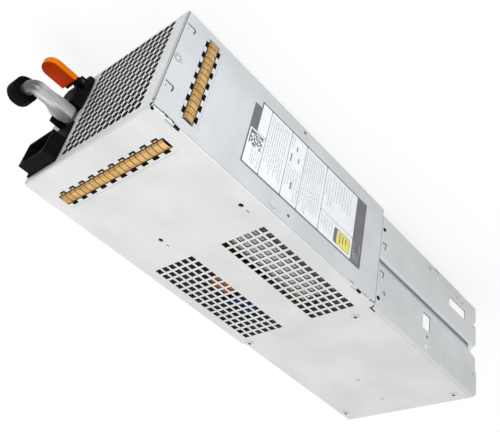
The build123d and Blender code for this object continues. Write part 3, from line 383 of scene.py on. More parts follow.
def brass():
    """Bright spring brass with a faint rolled grain, warmer patches and painted shade on the faces
    turned to the mesh end.
    """
    finish = Finish("spring_brass", (0.58, 0.40, 0.20), metallic=0.45)
    finish.colour(finish.noise(7, detail=3), (0.46, 0.25, 0.065), (0.66, 0.42, 0.15), 0.36, 0.62)
    # Painted shade on the faces turned to the mesh end
    facing_end = finish.math("MULTIPLY", finish.axis_of("Normal", "Y"), -1.0)
    finish.second_tone(facing_end, (0.42, 0.22, 0.05), 0.05, 0.5)
    finish.rough(finish.noise(3), 0.28, 0.42)
    finish.bump(finish.noise(0.4, (6, 1, 1)), 0.004, 0.5)
    finish.paint_crease_shade(1.6, 0.35)
    return finish.material


def plain_metal(name, dark, light, roughness, metallic=0.9):
    """Plated or bare metal with a faint mottle."""
    finish = Finish(name, light, metallic=metallic)
    finish.colour(finish.noise(5), dark, light)
    finish.rough(finish.noise(2), roughness - 0.06, roughness + 0.08)
    finish.bump(finish.noise(0.4), 0.005, 0.4)
    return finish.material


def satin_arm():
    """Satin grey handle with long soft streaks along the bar and a painted dark reflection on its
    outer end.
    """
    finish = Finish("satin_arm", (0.5, 0.5, 0.51), metallic=0.3,
                    Coat_Weight=0.2, Coat_Roughness=0.3)
    streaks = finish.noise(3.2, (1, 0.1, 1), 2)
    finish.colour(streaks, (0.30, 0.30, 0.31), (0.56, 0.555, 0.55), 0.36, 0.64)
    along = finish.math("SUBTRACT", finish.axis_of("Object", "Y"), MESH_END_Y)
    # Painted dark reflection on the outer end
    painted_dark_reflection = finish.short_of(along, BAR_REACH_Y + 1.0, BAR_REACH_Y + 5.5)
    finish.second_tone(painted_dark_reflection, (0.05, 0.05, 0.052), 0.0, 1.1)
    finish.rough(finish.noise(2, (1, 0.2, 1)), 0.3, 0.45)
    finish.bump(finish.noise(1.1, (1, 0.1, 1)), 0.03, 0.5)
    finish.paint_crease_shade(3.0, 0.5)
    return finish.material


def touch_orange():
    """Orange moulding, with painted shade on its faces turned up and down."""
    finish = Finish("orange_moulding", (0.84, 0.185, 0.004), roughness=0.5, Specular_IOR_Level=0.04)
    finish.colour(finish.noise(6, detail=3), (0.80, 0.165, 0.001), (0.89, 0.21, 0.003))
    # Painted shade on the faces turned up and down
    flat = finish.math("ABSOLUTE", finish.axis_of("Normal", "Z"))
    finish.second_tone(flat, (0.66, 0.052, 0.0005), 0.75, 0.98)
    finish.rough(finish.noise(2.5), 0.36, 0.5)
    finish.bump(finish.cells(0.35), 0.008, 0.4)
    return finish.material


def strap_cloth():
    """Black hook-and-loop strap: coarse woven loops with a dull sheen."""
    finish = Finish("strap_cloth", (0.005, 0.004, 0.005), roughness=0.8, Specular_IOR_Level=0.05,
                    Sheen_Weight=0.01, Sheen_Roughness=0.5)
    finish.colour(finish.noise(1.6, detail=4), (0.001, 0.0008, 0.001), (0.006, 0.0048, 0.006))
    finish.bump(finish.cells(0.7), 0.16, 0.8)
    finish.bump(finish.noise(0.3, detail=2), 0.06, 0.6)
    return finish.material


def heatsink_metal():
    """Extruded aluminium with die lines along the fins."""
    finish = Finish("extruded_fins", (0.76, 0.77, 0.78), metallic=0.55)
    finish.colour(finish.noise(5, (1, 0.15, 1)), (0.62, 0.63, 0.64), (0.84, 0.85, 0.86))
    finish.rough(finish.noise(1.2, (1, 0.05, 1)), 0.36, 0.52)
    finish.bump(finish.noise(0.5, (1, 0.03, 1)), 0.02, 0.5)
    return finish.material


def heatsink_cap_metal():
    """Bright blasted aluminium."""
    finish = Finish("bright_cap", (0.9, 0.9, 0.89), metallic=0.1, roughness=0.5)
    finish.colour(finish.noise(4, (1, 0.2, 1)), (0.80, 0.80, 0.79), (0.95, 0.95, 0.94))
    finish.bump(finish.noise(0.6, (1, 0.1, 1)), 0.02, 0.5)
    return finish.material


def circuit_board():
    """Green solder mask over faint tracks."""
    finish = Finish("circuit_board", (0.02, 0.12, 0.06), roughness=0.35)
    tracks = finish.cells(4.5, (1, 0.3, 1))
    finish.colour(tracks, (0.012, 0.085, 0.04), (0.03, 0.17, 0.075), 0.2, 0.6)
    finish.bump(finish.cells(3, (1, 0.4, 1)), 0.03, 0.5)
    return finish.material


def taped_winding():
    """Orange polyester tape wound in level turns."""
    finish = Finish("winding_tape", (0.75, 0.24, 0.04), roughness=0.4)
    finish.colour(finish.noise(7), (0.60, 0.15, 0.02), (0.85, 0.30, 0.06))
    finish.bump(finish.bands(6.0, "Z"), 0.12, 0.6)
    return finish.material


def wound_copper():
    """Enamelled wire laid in close turns."""
    finish = Finish("wound_copper", (0.62, 0.27, 0.11), metallic=0.8, roughness=0.3)
    finish.colour(finish.noise(4), (0.46, 0.17, 0.06), (0.72, 0.34, 0.15))
    finish.bump(finish.bands(1.4, "Z"), 0.35, 0.9)
    return finish.material


def rubber():
    """Matt black rubber."""
    finish = Finish("rubber_pad", (0.03, 0.03, 0.03), roughness=0.85)
    finish.colour(finish.noise(3), (0.02, 0.02, 0.02), (0.05, 0.05, 0.05))
    finish.bump(finish.noise(0.6), 0.03, 0.6)
    return finish.material


def film():
    """Milky insulating film."""
    finish = Finish("insulating_film", (0.8, 0.8, 0.75), roughness=0.3)
    finish.colour(finish.noise(20), (0.72, 0.72, 0.66), (0.84, 0.84, 0.8))
    finish.bump(finish.noise(8), 0.05, 0.3)
    return finish.material


def ferrite():
    """Dark sintered ferrite."""
    finish = Finish("dark_ferrite", (0.06, 0.06, 0.065), roughness=0.6)
    finish.colour(finish.noise(2), (0.035, 0.035, 0.038), (0.085, 0.085, 0.09))
    finish.bump(finish.noise(0.3), 0.02, 0.7)
    return finish.material


def ink(name, dark, light, roughness=0.38, gloss=0.5):
    """Printed film with the faint mottle of ink."""
    finish = Finish(name, light, roughness=roughness, Specular_IOR_Level=gloss)
    finish.colour(finish.noise(12, detail=4), dark, light)
    finish.bump(finish.noise(0.7), 0.006, 0.4)
    return finish.material


chassis_metal = chassis_sheet()
cover_metal = cover_sheet()
black_plastic = plastic("black_moulding", (0.002, 0.002, 0.0018), (0.006, 0.0055, 0.005), 0.6, 0.05)
orange_plastic = touch_orange()
dark_steel = plain_metal("dark_steel", (0.03, 0.03, 0.03), (0.06, 0.06, 0.06), 0.4, 0.6)
label_white = ink("label_white", (0.90, 0.90, 0.90), (0.95, 0.95, 0.945))
label_dark = ink("label_dark", (0.125, 0.115, 0.13), (0.16, 0.15, 0.165))
label_grey = ink("label_print", (0.42, 0.42, 0.44), (0.58, 0.58, 0.60))
pale_print_and_shade = ink("pale_print_and_screw_shade", (0.36, 0.35, 0.38), (0.50, 0.49, 0.52))
label_yellow = ink("badge_yellow", (0.80, 0.68, 0.11), (0.88, 0.78, 0.17))
mark_dark = ink("lanced_shadow", (0.003, 0.002, 0.003), (0.009, 0.007, 0.009), 0.9, 0.05)
mark_grey = ink("half_sheared_shadow", (0.085, 0.09, 0.10), (0.13, 0.135, 0.145), 0.7, 0.2)
fold_shade = ink("folded_edge_shade", (0.40, 0.40, 0.42), (0.47, 0.47, 0.49), 0.5)
mark_soft = ink("pressed_shadow", (0.30, 0.31, 0.33), (0.38, 0.39, 0.41), 0.5)
mark_faint = ink("rim_shadow", (0.47, 0.49, 0.51), (0.53, 0.55, 0.57), 0.5)
mark_bright = ink("rim_shine", (0.80, 0.82, 0.84), (0.88, 0.89, 0.90), 0.35)

BY_SLOT = {
    "zinc_sheet": chassis_metal,
    "finger_brass": brass(),
    "black_plastic": black_plastic,
    "orange_plastic": orange_plastic,
    "grey_satin": satin_arm(),
    "strap_black": strap_cloth(),
    "plated_metal": plain_metal("nickel_plate", (0.62, 0.61, 0.58), (0.76, 0.75, 0.72), 0.28),
    "steel": plain_metal("plain_steel", (0.45, 0.45, 0.45), (0.60, 0.60, 0.59), 0.35),
    "rubber": rubber(),
    "board_green": circuit_board(),
    "film_clear": film(),
    "heatsink": heatsink_metal(),
    "package_black": plastic("package_black", (0.02, 0.02, 0.02), (0.035, 0.035, 0.035), 0.6),
    "ferrite": ferrite(),
    "tape_orange": taped_winding(),
    "copper": wound_copper(),
    "can_black": plastic("can_sleeve", (0.02, 0.02, 0.03), (0.045, 0.045, 0.06), 0.35),
    "capacitor_blue": plastic("capacitor_blue", (0.02, 0.06, 0.30), (0.035, 0.10, 0.42), 0.4),
    "label_white": label_white,
}
BY_NODE = {
    "cover": cover_metal,
    "fan_stator": BY_SLOT["copper"],
    "latch_pin": dark_steel,
    "latch_spring": dark_steel,
    "handle_pin": BY_SLOT["grey_satin"],
    "case_screws": plain_metal("screw_zinc", (0.66, 0.67, 0.67), (0.74, 0.75, 0.75), 0.4, 0.3),
    # Painted light: this copy of the screw zinc is tinted blue for the cool light on the label side
    "side_screws": plain_metal("screw_zinc_blue_lit", (0.60, 0.63, 0.66), (0.70, 0.73, 0.76),
                               0.35, 0.3),
}


def dress_nodes():
    """Gives every node from the frame the finish of its slot."""
    for subpart in frame["record"]["subparts"]:
        node = frame["nodes"][subpart["node"]]
        material = BY_NODE.get(subpart["node"], BY_SLOT[subpart["material_slot"]])
        node.data.materials.clear()
        node.data.materials.append(material)


# Pieces


def finish_piece(name, mesh, material, body="root"):
    """Turns a bmesh into a piece that rides on a body."""
    bmesh.ops.recalc_face_normals(mesh, faces=mesh.faces)
    data = bpy.data.meshes.new(name)
    mesh.to_mesh(data)
    mesh.free()
    data.materials.append(material)
    piece = bpy.data.objects.new(name, data)
    bpy.context.scene.collection.objects.link(piece)
    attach(piece, body)
    return piece


def add_prism(mesh, face, outline, low, high):
    """A closed prism on one face of the case, from a plane outline."""
    bottom = [mesh.verts.new(face(u, v, low)) for u, v in outline]
    top = [mesh.verts.new(face(u, v, high)) for u, v in outline]
    mesh.faces.new(bottom)
    mesh.faces.new(top)
    for index in range(len(outline)):
        after = (index + 1) % len(outline)
        mesh.faces.new((bottom[index], bottom[after], top[after], top[index]))


def oblong(u, v):
    """Corners of a rectangle from two (low, high) pairs."""
    return [(u[0], v[0]), (u[1], v[0]), (u[1], v[1]), (u[0], v[1])]


def around(middle, length):
    """The (low, high) pair of a length round its middle."""
    return (middle - length / 2, middle + length / 2)


def rounded(u, v, radius):
    """A rectangle with round corners, from two (low, high) pairs."""
    points = []
    steps = 5
    centres = ((u[1] - radius, v[1] - radius), (u[0] + radius, v[1] - radius),
               (u[0] + radius, v[0] + radius), (u[1] - radius, v[0] + radius))
    for quarter, (cu, cv) in enumerate(centres):
        for step in range(steps + 1):
            angle = math.radians(90 * (quarter + step / steps))
            points.append((cu + radius * math.cos(angle), cv + radius * math.sin(angle)))
    return points


def disc(u, v, radius, steps=24):
    """A circle as a ring of points."""
    turns = [math.tau * step / steps for step in range(steps)]
    return [(u + radius * math.cos(turn), v + radius * math.sin(turn)) for turn in turns]


def stroke(points, width):
    """Rectangles along a broken line, one for each run."""
    runs = []
    for (u0, v0), (u1, v1) in zip(points, points[1:]):
        length = math.hypot(u1 - u0, v1 - v0)
        du, dv = (u1 - u0) / length, (v1 - v0) / length
        nu, nv = -dv * width / 2, du * width / 2
        eu, ev = du * width / 2, dv * width / 2
        runs.append([(u0 - eu + nu, v0 - ev + nv), (u0 - eu - nu, v0 - ev - nv),
                     (u1 + eu - nu, v1 + ev - nv), (u1 + eu + nu, v1 + ev + nv)])
    return runs


def marks(name, face, outlines, material, high=PRINT_T, low=MARK_SINK):
    """One piece made of thin prisms on a face."""
    mesh = bmesh.new()
    for outline in outlines:
        add_prism(mesh, face, outline, low, high)
    return finish_piece(name, mesh, material)


def label_marks(name, outlines, material, layer, low=0.0):
    """One layer of print on the label, counted upward from its film."""
    return marks(name, on_label, outlines, material, layer * PRINT_T, low)


# Rows of dashes: start, end and pitch along Y, span along Z, least share of the span filled
LABEL_ROWS = (
    (81.2, 97.6, 1.9, (16.5, 66.0), 0.75),
    (116.6, 135.4, 1.9, (16.0, 66.5), 0.85),
    (139.5, 168.5, 2.9, (16.5, 44.0), 0.6),
    (139.5, 151.0, 2.6, (52.5, 65.5), 0.75),
    (101.5, 113.0, 2.3, (40.0, 66.0), 0.6),
    (101.0, 104.5, 1.8, (16.0, 30.0), 0.6),
    (70.5, 77.5, 1.6, (52.5, 65.5), 0.65),
)
# Bold bars, and pale rows at the low end of the dark end band: place along Y, span along Z
LABEL_BARS = ((102.5, 30.5, 37.5), (106.5, 22.0, 26.0), (109.5, 30.0, 34.0), (107.0, 52.0, 58.0))
BAND_ROWS = ((173.9, 52.0, 67.6), (175.1, 61.0, 67.4), (176.6, 59.8, 67.4), (178.0, 61.5, 67.4),
             (179.6, 59.8, 67.2), (180.3, 51.4, 59.4))
BAND_Y = 171.8


def label_panels():
    """White panels between the columns, set in from the label's border."""
    gap, corner_r, border = 0.25, 0.9, 1.1
    inner_y = LABEL_Y[0] + border
    inner_z = (LABEL_Z[0] + border, LABEL_Z[1] - border)
    splits_y = (79.2, 99.4, 115.0, 136.9)
    split_z = 50.6
    spans = [((71.0, splits_y[0] - gap), (inner_z[0], 39.0)),
             ((inner_y, splits_y[0] - gap), (39.4, inner_z[1]))]
    for start, stop in zip(splits_y, splits_y[1:]):
        spans.append(((start + gap, stop - gap), inner_z))
    last_y = (splits_y[-1] + gap, BAND_Y)
    spans += [(last_y, (inner_z[0], split_z - 0.2)), (last_y, (split_z + 0.2, inner_z[1]))]
    return [rounded(y, z, corner_r) for y, z in spans]


def dash_rows(chance):
    """Ragged rows of dashes of many lengths."""
    dashes = []
    for start, stop, pitch, (first, last), fill in LABEL_ROWS:
        y = start
        while y <= stop:
            z = first + chance.uniform(0, 1.5)
            end = first + (last - first) * chance.uniform(fill, 1)
            while z < end:
                word = chance.uniform(1.2, 5.0)
                dashes.append(oblong(around(y, 0.56), (z, min(z + word, end))))
                z += word + chance.uniform(0.5, 0.9)
            y += pitch
    return dashes


def bold_cells(chance):
    """A square of random cells with two full edges, and a few bold bars."""
    bold = []
    cell, count, corner_y, corner_z = 0.95, 12, 66.3, 40.6
    for row in range(count):
        for column in range(count):
            if chance.random() < 0.5 or row == 0 or column == 0:
                y = corner_y + row * cell
                z = corner_z + column * cell
                bold.append(oblong((y, y + cell * 0.98), (z, z + cell * 0.98)))
    return bold + [oblong(around(y, 1.0), (first, last)) for y, first, last in LABEL_BARS]


def band_dashes(chance):
    """Rows of short dashes."""
    dashes = []
    for y, first, last in BAND_ROWS:
        z = first
        while z < last:
            word = chance.uniform(1.4, 3.2)
            dashes.append(oblong(around(y, 0.6), (z, min(z + word, last))))
            z += word + 0.6
    return dashes


def badge():
    """Yellow badge with a dark rim and three plain bars."""
    y, z = (152.6, 170.0), (54.0, 66.0)
    inset, dark_edge, bar_w = 0.35, 3.2, 0.8
    label_marks("badge_rim", [rounded(y, z, 1.9)], label_dark, 3)
    plate = rounded((y[0] + dark_edge, y[1] - inset), (z[0] + inset, z[1] - inset), 1.6)
    label_marks("badge_plate", [plate], label_yellow, 4)
    bars = [oblong(around(middle, bar_w), (z[0] + 2.0, z[1] - short))
            for middle, short in ((159.2, 2.0), (162.4, 3.6), (165.6, 5.2))]
    label_marks("badge_bars", bars, label_dark, 5)


def label_print():
    """Bare rating label: dark ground with an end band, white panels, dashes, bars and a badge."""
    step = 5.8
    (low_y, high_y), (low_z, high_z) = LABEL_Y, LABEL_Z
    ground = [(low_y + step, low_z), (high_y, low_z), (high_y, high_z), (low_y, high_z),
              (low_y, low_z + step), (low_y + step, low_z + step)]
    chance = random.Random(7)
    label_marks("label_border", [ground], label_dark, 1, MARK_SINK)
    label_marks("label_panels", label_panels(), label_white, 2)
    label_marks("label_dashes", dash_rows(chance), label_grey, 3)
    label_marks("label_codes", bold_cells(chance), label_dark, 3)
    label_marks("label_fine_print", band_dashes(chance), pale_print_and_shade, 3)
    badge()


def hook_mark(points, dot):
    """Outlines of a half-sheared hook and the dot beside it."""
    return stroke(points, 0.95) + [disc(*dot, 0.42, 12)]


def side_marks():
    """Two hooks in painted shadow and a dimple with painted highlights near the mesh end on the
    label side.
    """
    hooks = hook_mark([(2.2, 11.5), (7.3, 11.3), (8.1, 12.3), (7.5, 14.9)], (3.1, 14.5))
    hooks += hook_mark([(2.4, 62.0), (7.4, 62.2), (7.9, 63.4), (7.5, 65.7)], (2.9, 65.2))
    marks("side_hook_shadows", on_side, hooks, mark_grey)
    marks("side_dimple_shine", on_side, [disc(3.9, 41.2, 0.8)], mark_bright)
    y, z = SIDE_DIMPLE
    rim_r = 3.7
    rim = [(y + rim_r * math.cos(turn), z + rim_r * math.sin(turn))
           for turn in (-0.9, -0.5, -0.1, 0.3, 0.7, 1.1)]
    marks("side_dimple_rim_shine", on_side, stroke(rim, 0.5), mark_bright)


def corner_marks():
    """Painted shadow in the round relief hole where the bends meet in the corner, and in a small
    notch under it.
    """
    marks("corner_hole_shadow_end", on_end, [disc(-58.6, 82.4, 1.3)], mark_dark, low=HOLE_SINK)
    marks("corner_hole_shadow_top", on_top, [disc(-58.8, 1.5, 0.95)], mark_dark, low=HOLE_SINK)
    notch = oblong((-59.6, -58.4), (78.3, 79.8))
    marks("corner_notch_shadow", on_end, [notch], mark_dark, high=2 * PRINT_T)


def wall_mark_shadows():
    """Hooks and short lanced marks in the tongue's wall, drawn as painted shadow."""
    wall = hook_mark([(205.6, 30.3), (209.6, 29.4), (208.6, 34.6)], (205.2, 33.0))
    wall += hook_mark([(205.5, 54.6), (209.6, 54.5), (209.3, 58.6)], (205.3, 58.3))
    wall += stroke([(211.9, 69.0), (213.2, 70.2)], 0.7) + [disc(*WALL_DIMPLE, 0.8)]
    for y, z in ((267.7, 11.8), (307.8, 12.9), (316.0, 13.6), (333.8, 25.5), (332.8, 68.6)):
        wall += stroke([(y - 0.6, z), (y + 0.6, z + 1.0)], 0.7)
    wall += stroke([(274.0, 7.6), (280.0, 9.0)], 0.6)
    marks("wall_mark_shadows", on_side, wall, mark_grey)


def end_fold():
    """The folded edge of the mesh end lies against the side in a double line, drawn as painted
    shade.
    """
    z = (1.0, 78.5)
    marks("end_fold", on_end, [oblong((-59.9, -57.5), z)], fold_shade)
    marks("end_fold_line", on_end, [oblong((-57.8, -57.5), z)], mark_soft, high=2 * PRINT_T)
    marks("end_seam", on_side, [oblong((0.05, 0.55), (2.0, 82.3))], mark_grey)


def upper_edge():
    """The cover's upper edge: dark seam, painted highlight along the edge of the top sheet, tabs,
    and painted shadow in their slots.
    """
    seam_z, slot_z, patch_z = (83.35, 83.65), (83.6, 84.97), (82.2, 83.3)
    marks("edge_shine", on_side, [oblong((2.2, 202.0), (84.05, 84.95))], mark_bright)
    seam = [oblong(y, seam_z) for y in ((20.6, 175.2), (187.6, 196.8))]
    marks("edge_seam", on_side, seam, mark_soft)
    dark = stroke([(0.6, 83.1), (7.2, 82.9), (7.6, 82.4), (10.4, 82.7), (10.6, 83.9)], 0.5)
    dark += [oblong(y, slot_z) for y in EDGE_SLOTS_Y]
    dark += stroke([(175.4, 82.9), (178.2, 82.7), (179.0, 83.6)], 0.5)
    dark += stroke([(196.8, 84.6), (198.4, 83.4), (202.5, 83.1)], 0.6)
    marks("edge_slots", on_side, dark, mark_dark, high=2 * PRINT_T)
    patches = [oblong(y, patch_z) for y in ((15.7, 20.5), (183.6, 195.4))]
    marks("edge_patches", on_side, patches, cover_metal)


def wall_hole_shadows():
    """Round holes beside the cover's end drawn as painted shadow, and a faint line of painted shade
    across the wall.
    """
    marks("wall_hole_shadows", on_side, [disc(206.1, 18.1, 1.6), disc(206.1, 77.0, 1.6)], mark_dark)
    marks("tongue_line", on_side, [oblong((291.3, 291.7), (70.0, 81.0))], mark_faint)


def seat_marks():
    """Faint rim of the seat of the side finger strip, and the recess of a flat screw, both drawn as
    painted shade.
    """
    low, high = (17.0, 8.5), (30.6, 74.5)
    rim = []
    for start, stop in ((low, (low[0], high[1])), ((high[0], low[1]), high),
                        (low, (high[0], low[1])), ((low[0], high[1]), high)):
        rim += stroke([start, stop], 0.35)
    marks("side_strip_rim", on_side, rim, mark_faint)
    marks("side_screw_recess_shade", on_side, [disc(*SIDE_SCREW, 0.9)], pale_print_and_shade)


def notch_places(middle, count):
    """Places of the notches along a strip, from its middle."""
    return [middle + (index - (count - 1) / 2) * NOTCH_PITCH for index in range(count)]


def notch_shadows():
    """Deep dark openings beside the finger strips, with the fingers' tabs in the upper ones."""
    ways = (-1, 1)
    side = [oblong(around(STRIP_Y + way * NOTCH_OFF, NOTCH_D), around(z, NOTCH_L))
            for z in notch_places(SIDE_STRIP_Z, 7) for way in ways]
    marks("side_notches", on_side, side, mark_dark)
    top = [oblong(around(x, NOTCH_L), around(STRIP_Y + way * NOTCH_OFF, NOTCH_D))
           for x in notch_places(TOP_STRIP_X, 10) for way in ways]
    marks("top_notches", on_top, top, mark_dark)
    notch_y = STRIP_Y - NOTCH_OFF
    tab_y = (notch_y + 0.15, notch_y + NOTCH_D / 2 + 0.1)
    tabs = [oblong(around(x + 0.3, 2.6), tab_y) for x in notch_places(TOP_STRIP_X, 10)]
    marks("top_finger_tabs", on_top, tabs, BY_SLOT["finger_brass"], 2 * PRINT_T)


def top_marks():
    """Marks pressed in the top, drawn as painted shade and painted highlight: strip seat, edge tabs
    and slots, screw recesses, lanced marks.
    """
    marks("top_strip_rim", on_top, stroke([(-49.0, 30.8), (50.0, 30.8)], 0.3), mark_faint)
    slots = [oblong(EDGE_X, y) for y in EDGE_SLOTS_Y]
    slots += stroke([(-59.9, 202.4), (-56.7, 205.0)], 0.6)
    marks("top_edge_slots", on_top, slots, mark_dark)
    marks("top_edge_tabs", on_top, [oblong(EDGE_X, y) for y in EDGE_TABS_Y], mark_faint)
    line_x = (EDGE_X[1], EDGE_X[1] + 0.3)
    marks("top_edge_lines", on_top, [oblong(line_x, y) for y in EDGE_TABS_Y], mark_soft)
    marks("tongue_bend_line", on_top, [oblong((-56.1, -55.85), (210.0, 336.0))], mark_soft)
    # The screws' heads stand half a millimetre off the top
    recesses = [disc(x, y, 1.4) for x, y in TOP_SCREWS]
    marks("screw_recesses", on_top, recesses, mark_grey, high=0.54, low=0.4)
    lances = stroke([(10.2, 282.2), (9.2, 284.3)], 0.8) + stroke([(10.0, 314.8), (9.0, 316.9)], 0.8)
    marks("top_lances", on_top, lances, mark_grey)
    tails = stroke([(9.0, 285.0), (7.1, 286.9)], 0.7) + stroke([(8.8, 317.4), (7.4, 319.2)], 0.7)
    marks("top_lance_tails", on_top, tails, mark_bright)
    # A soft line of painted shade where the mesh end turns into the top
    marks("end_bend_line", on_end, [oblong((-56.0, 56.0), (82.2, 82.5))], mark_faint)


def section_ring(centre, across, half_w, half_h, square):
    """Points of a section square to a centre line, from a circle (2) to nearly a rectangle (8)."""
    points = []
    steps = 40
    for step in range(steps):
        turn = math.tau * step / steps
        cosine, sine = math.cos(turn), math.sin(turn)
        u = half_w * math.copysign(abs(cosine) ** (2 / square), cosine)
        v = half_h * math.copysign(abs(sine) ** (2 / square), sine)
        points.append(at(centre[0] + u * across[0], centre[1] + u * across[1], centre[2] + v))
    return points


def skin(mesh, rings):
    """Faces between rings of equal length, closed at both ends."""
    verts = [[mesh.verts.new(point) for point in ring] for ring in rings]
    for ring, after in zip(verts, verts[1:]):
        for index in range(len(ring)):
            beyond = (index + 1) % len(ring)
            mesh.faces.new((ring[index], ring[beyond], after[beyond], after[index]))
    mesh.faces.new(verts[0])
    mesh.faces.new(verts[-1])


def smooth(piece, angle):
    """Smooth shading, with edges sharper than an angle kept crisp."""
    for face in piece.data.polygons:
        face.use_smooth = True
    piece.data.set_sharp_from_angle(angle=math.radians(angle))


def handle_rings():
    """Sections of the handle: outer end, bar, tight bend, flare to the flat paddle, round hub."""
    bar_r, bar_x, bend_r = 4.3, 33.7, 4.7
    bent_h, bent_square, flat_square = 4.75, 2.5, 6.5
    left, right, hub_r = 29.4, 40.8, 4.6
    middle_z, half_h = 40.0, 4.8
    rings = []
    chamfer = 0.5
    for x, inset in ((BAR_END_X, chamfer), (BAR_END_X - chamfer, 0.0), (44.0, 0.0)):
        half = bar_r - inset
        rings.append(section_ring((x, BAR_REACH_Y, BAR_Z), (0, 1), half, half, 2))
    bend_x, bend_y = bar_x + bend_r, BAR_REACH_Y + bend_r
    bend_steps = 12
    for step in range(bend_steps + 1):
        share = step / bend_steps
        sine, cosine = math.sin(math.pi / 2 * share), math.cos(math.pi / 2 * share)
        drop = (BAR_Z - middle_z) * sine
        place = (bend_x - bend_r * sine, bend_y - bend_r * cosine, BAR_Z - drop)
        tall = bent_h + (bar_r - bent_h) * cosine
        square = 2 + (bent_square - 2) * share
        rings.append(section_ring(place, (sine, cosine), bar_r, tall, square))
    flare_y = (-19.5, -10.6)
    flare_steps = 14
    for step in range(flare_steps + 1):
        share = step / flare_steps
        ease = share * share * (3 - 2 * share)
        outer = bar_x + bar_r + (right - bar_x - bar_r) * ease
        place = ((left + outer) / 2, flare_y[0] + (flare_y[1] - flare_y[0]) * share, middle_z)
        square = bent_square + (flat_square - bent_square) * ease
        rings.append(section_ring(place, (1, 0), (outer - left) / 2, half_h, square))
    place = ((left + right) / 2, PIN_Y - 0.9, middle_z)
    rings.append(section_ring(place, (1, 0), (right - left) / 2, half_h, flat_square))
    hub_steps = 8
    for step in range(hub_steps + 1):
        turn = math.radians(8 + 80 * step / hub_steps)
        place = (PIN_X, PIN_Y + hub_r * math.sin(turn), middle_z)
        rings.append(section_ring(place, (1, 0), hub_r * math.cos(turn), half_h, flat_square))
    return rings


def handle_piece():
    """Round bar with a tight bend, flared smoothly into the flat root."""
    mesh = bmesh.new()
    skin(mesh, handle_rings())
    piece = finish_piece("handle_bar", mesh, BY_SLOT["grey_satin"], "handle")
    bore_hole(piece, at(PIN_X, PIN_Y, 30.0), at(PIN_X, PIN_Y, 50.0), BORE_R)
    smooth(piece, 35)
    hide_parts("handle_arm")


def bore_hole(piece, start, end, radius):
    """Cuts a round hole of a radius in millimetres along Z through a piece."""
    tool = bmesh.new()
    steps = 48
    turns = [math.tau * step / steps for step in range(steps)]
    offsets = [radius * MM * Vector((math.cos(turn), math.sin(turn), 0)) for turn in turns]
    skin(tool, [[spot + offset for offset in offsets] for spot in (start, end)])
    bmesh.ops.recalc_face_normals(tool, faces=tool.faces)
    data = bpy.data.meshes.new("bore_tool")
    tool.to_mesh(data)
    tool.free()
    cutter = bpy.data.objects.new("bore_tool", data)
    bpy.context.scene.collection.objects.link(cutter)
    cut = piece.modifiers.new("bore", "BOOLEAN")
    cut.object = cutter
    cut.solver = "EXACT"
    bpy.context.view_layer.update()
    evaluated = piece.evaluated_get(bpy.context.evaluated_depsgraph_get())
    bored = bpy.data.meshes.new_from_object(evaluated)
    piece.modifiers.clear()
    piece.data = bored
    bpy.data.objects.remove(cutter)


def strap_section(low, high, half):
    """Section of the strap between two places along X, as (X, height), with soft edges."""
    soft = 0.35
    left = [(low + soft, half), (low, half / 2), (low, -half / 2), (low + soft, -half)]
    right = [(high - soft, -half), (high, -half / 2), (high, half / 2), (high - soft, half)]
    return left + right


def rolled_strap():
    """Hook-and-loop strap rolled on the handle's end, with layered soft edges and a loose tail."""
    low_x, high_x, thick = 39.8, 48.8, 1.25
    inner_r, outer_r, turns, start = 4.9, 8.5, 2.85, math.radians(20)
    steps = int(turns * 40)
    tail_share, sways = 0.045, 12
    chance = random.Random(11)
    sway = [chance.uniform(-1, 1) for _ in range(sways)]
    rings = []
    for step in range(steps + 1):
        share = step / steps
        turn = start + math.tau * turns * share
        tail = max(0.0, share - (1 - tail_share)) / tail_share
        wobble = 0.07 * math.sin(3 * turn + 1) + 0.06 * math.sin(7 * turn)
        radius = inner_r + (outer_r - inner_r) * share + wobble - 0.2 * tail * tail
        place = share * (sways - 1)
        index = min(int(place), sways - 2)
        drift = 0.22 * (sway[index] + (sway[index + 1] - sway[index]) * (place - index))
        section = strap_section(low_x + drift, high_x + drift, thick / 2 * (1 - 0.25 * tail))
        rings.append([at(x, BAR_REACH_Y + (radius + lift) * math.cos(turn),
                         BAR_Z + (radius + lift) * math.sin(turn)) for x, lift in section])
    mesh = bmesh.new()
    skin(mesh, rings)
    piece = finish_piece("rolled_strap", mesh, BY_SLOT["strap_black"], "handle")
    smooth(piece, 50)
    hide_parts("strap_roll")


def across(x, z, y):
    """A point of a section of the case at a place along Y."""
    return at(x, y, z)


def rib_sheet(mesh, x, y, z, thick, ribs, rib_h):
    """A flat web with upright ribs, as one section across the case drawn out along Y."""
    rib_w = 1.0
    top = z + thick
    outline = [(x[0], z), (x[1], z), (x[1], top)]
    for middle in sorted(ribs, reverse=True):
        low, high = around(middle, rib_w)
        outline += [(high, top), (high, top + rib_h), (low, top + rib_h), (low, top)]
    outline.append((x[0], top))
    add_prism(mesh, across, outline, *y)


def inner_pieces():
    """What shows through the vents: the heatsink's ribbed cap and the tape on the transformer."""
    cap = bmesh.new()
    ribs_x = (-33.0, -26.6, -20.2, -13.8)
    rib_sheet(cap, (-35.5, -7.0), (108.0, 184.0), 73.6, 3.4, ribs_x, 1.6)
    piece = finish_piece("heatsink_cap", cap, heatsink_cap_metal())
    soften(piece, 0.3)
    tape = bmesh.new()
    tape_top = 75.2
    add_prism(tape, at, rounded((13.5, 40.5), (145.0, 159.0), 2.5), 70.6, tape_top)
    add_prism(tape, at, rounded((18.0, 36.0), (137.8, 143.0), 2.0), 64.4, tape_top)
    piece = finish_piece("transformer_tape", tape, BY_SLOT["tape_orange"])
    soften(piece, 0.5)


def soften(piece, width):
    """Rounds the edges of a piece by a width in millimetres."""
    bevel = piece.modifiers.new("round", "BEVEL")
    bevel.width = width * MM
    bevel.segments = 3
    bevel.limit_method = "ANGLE"


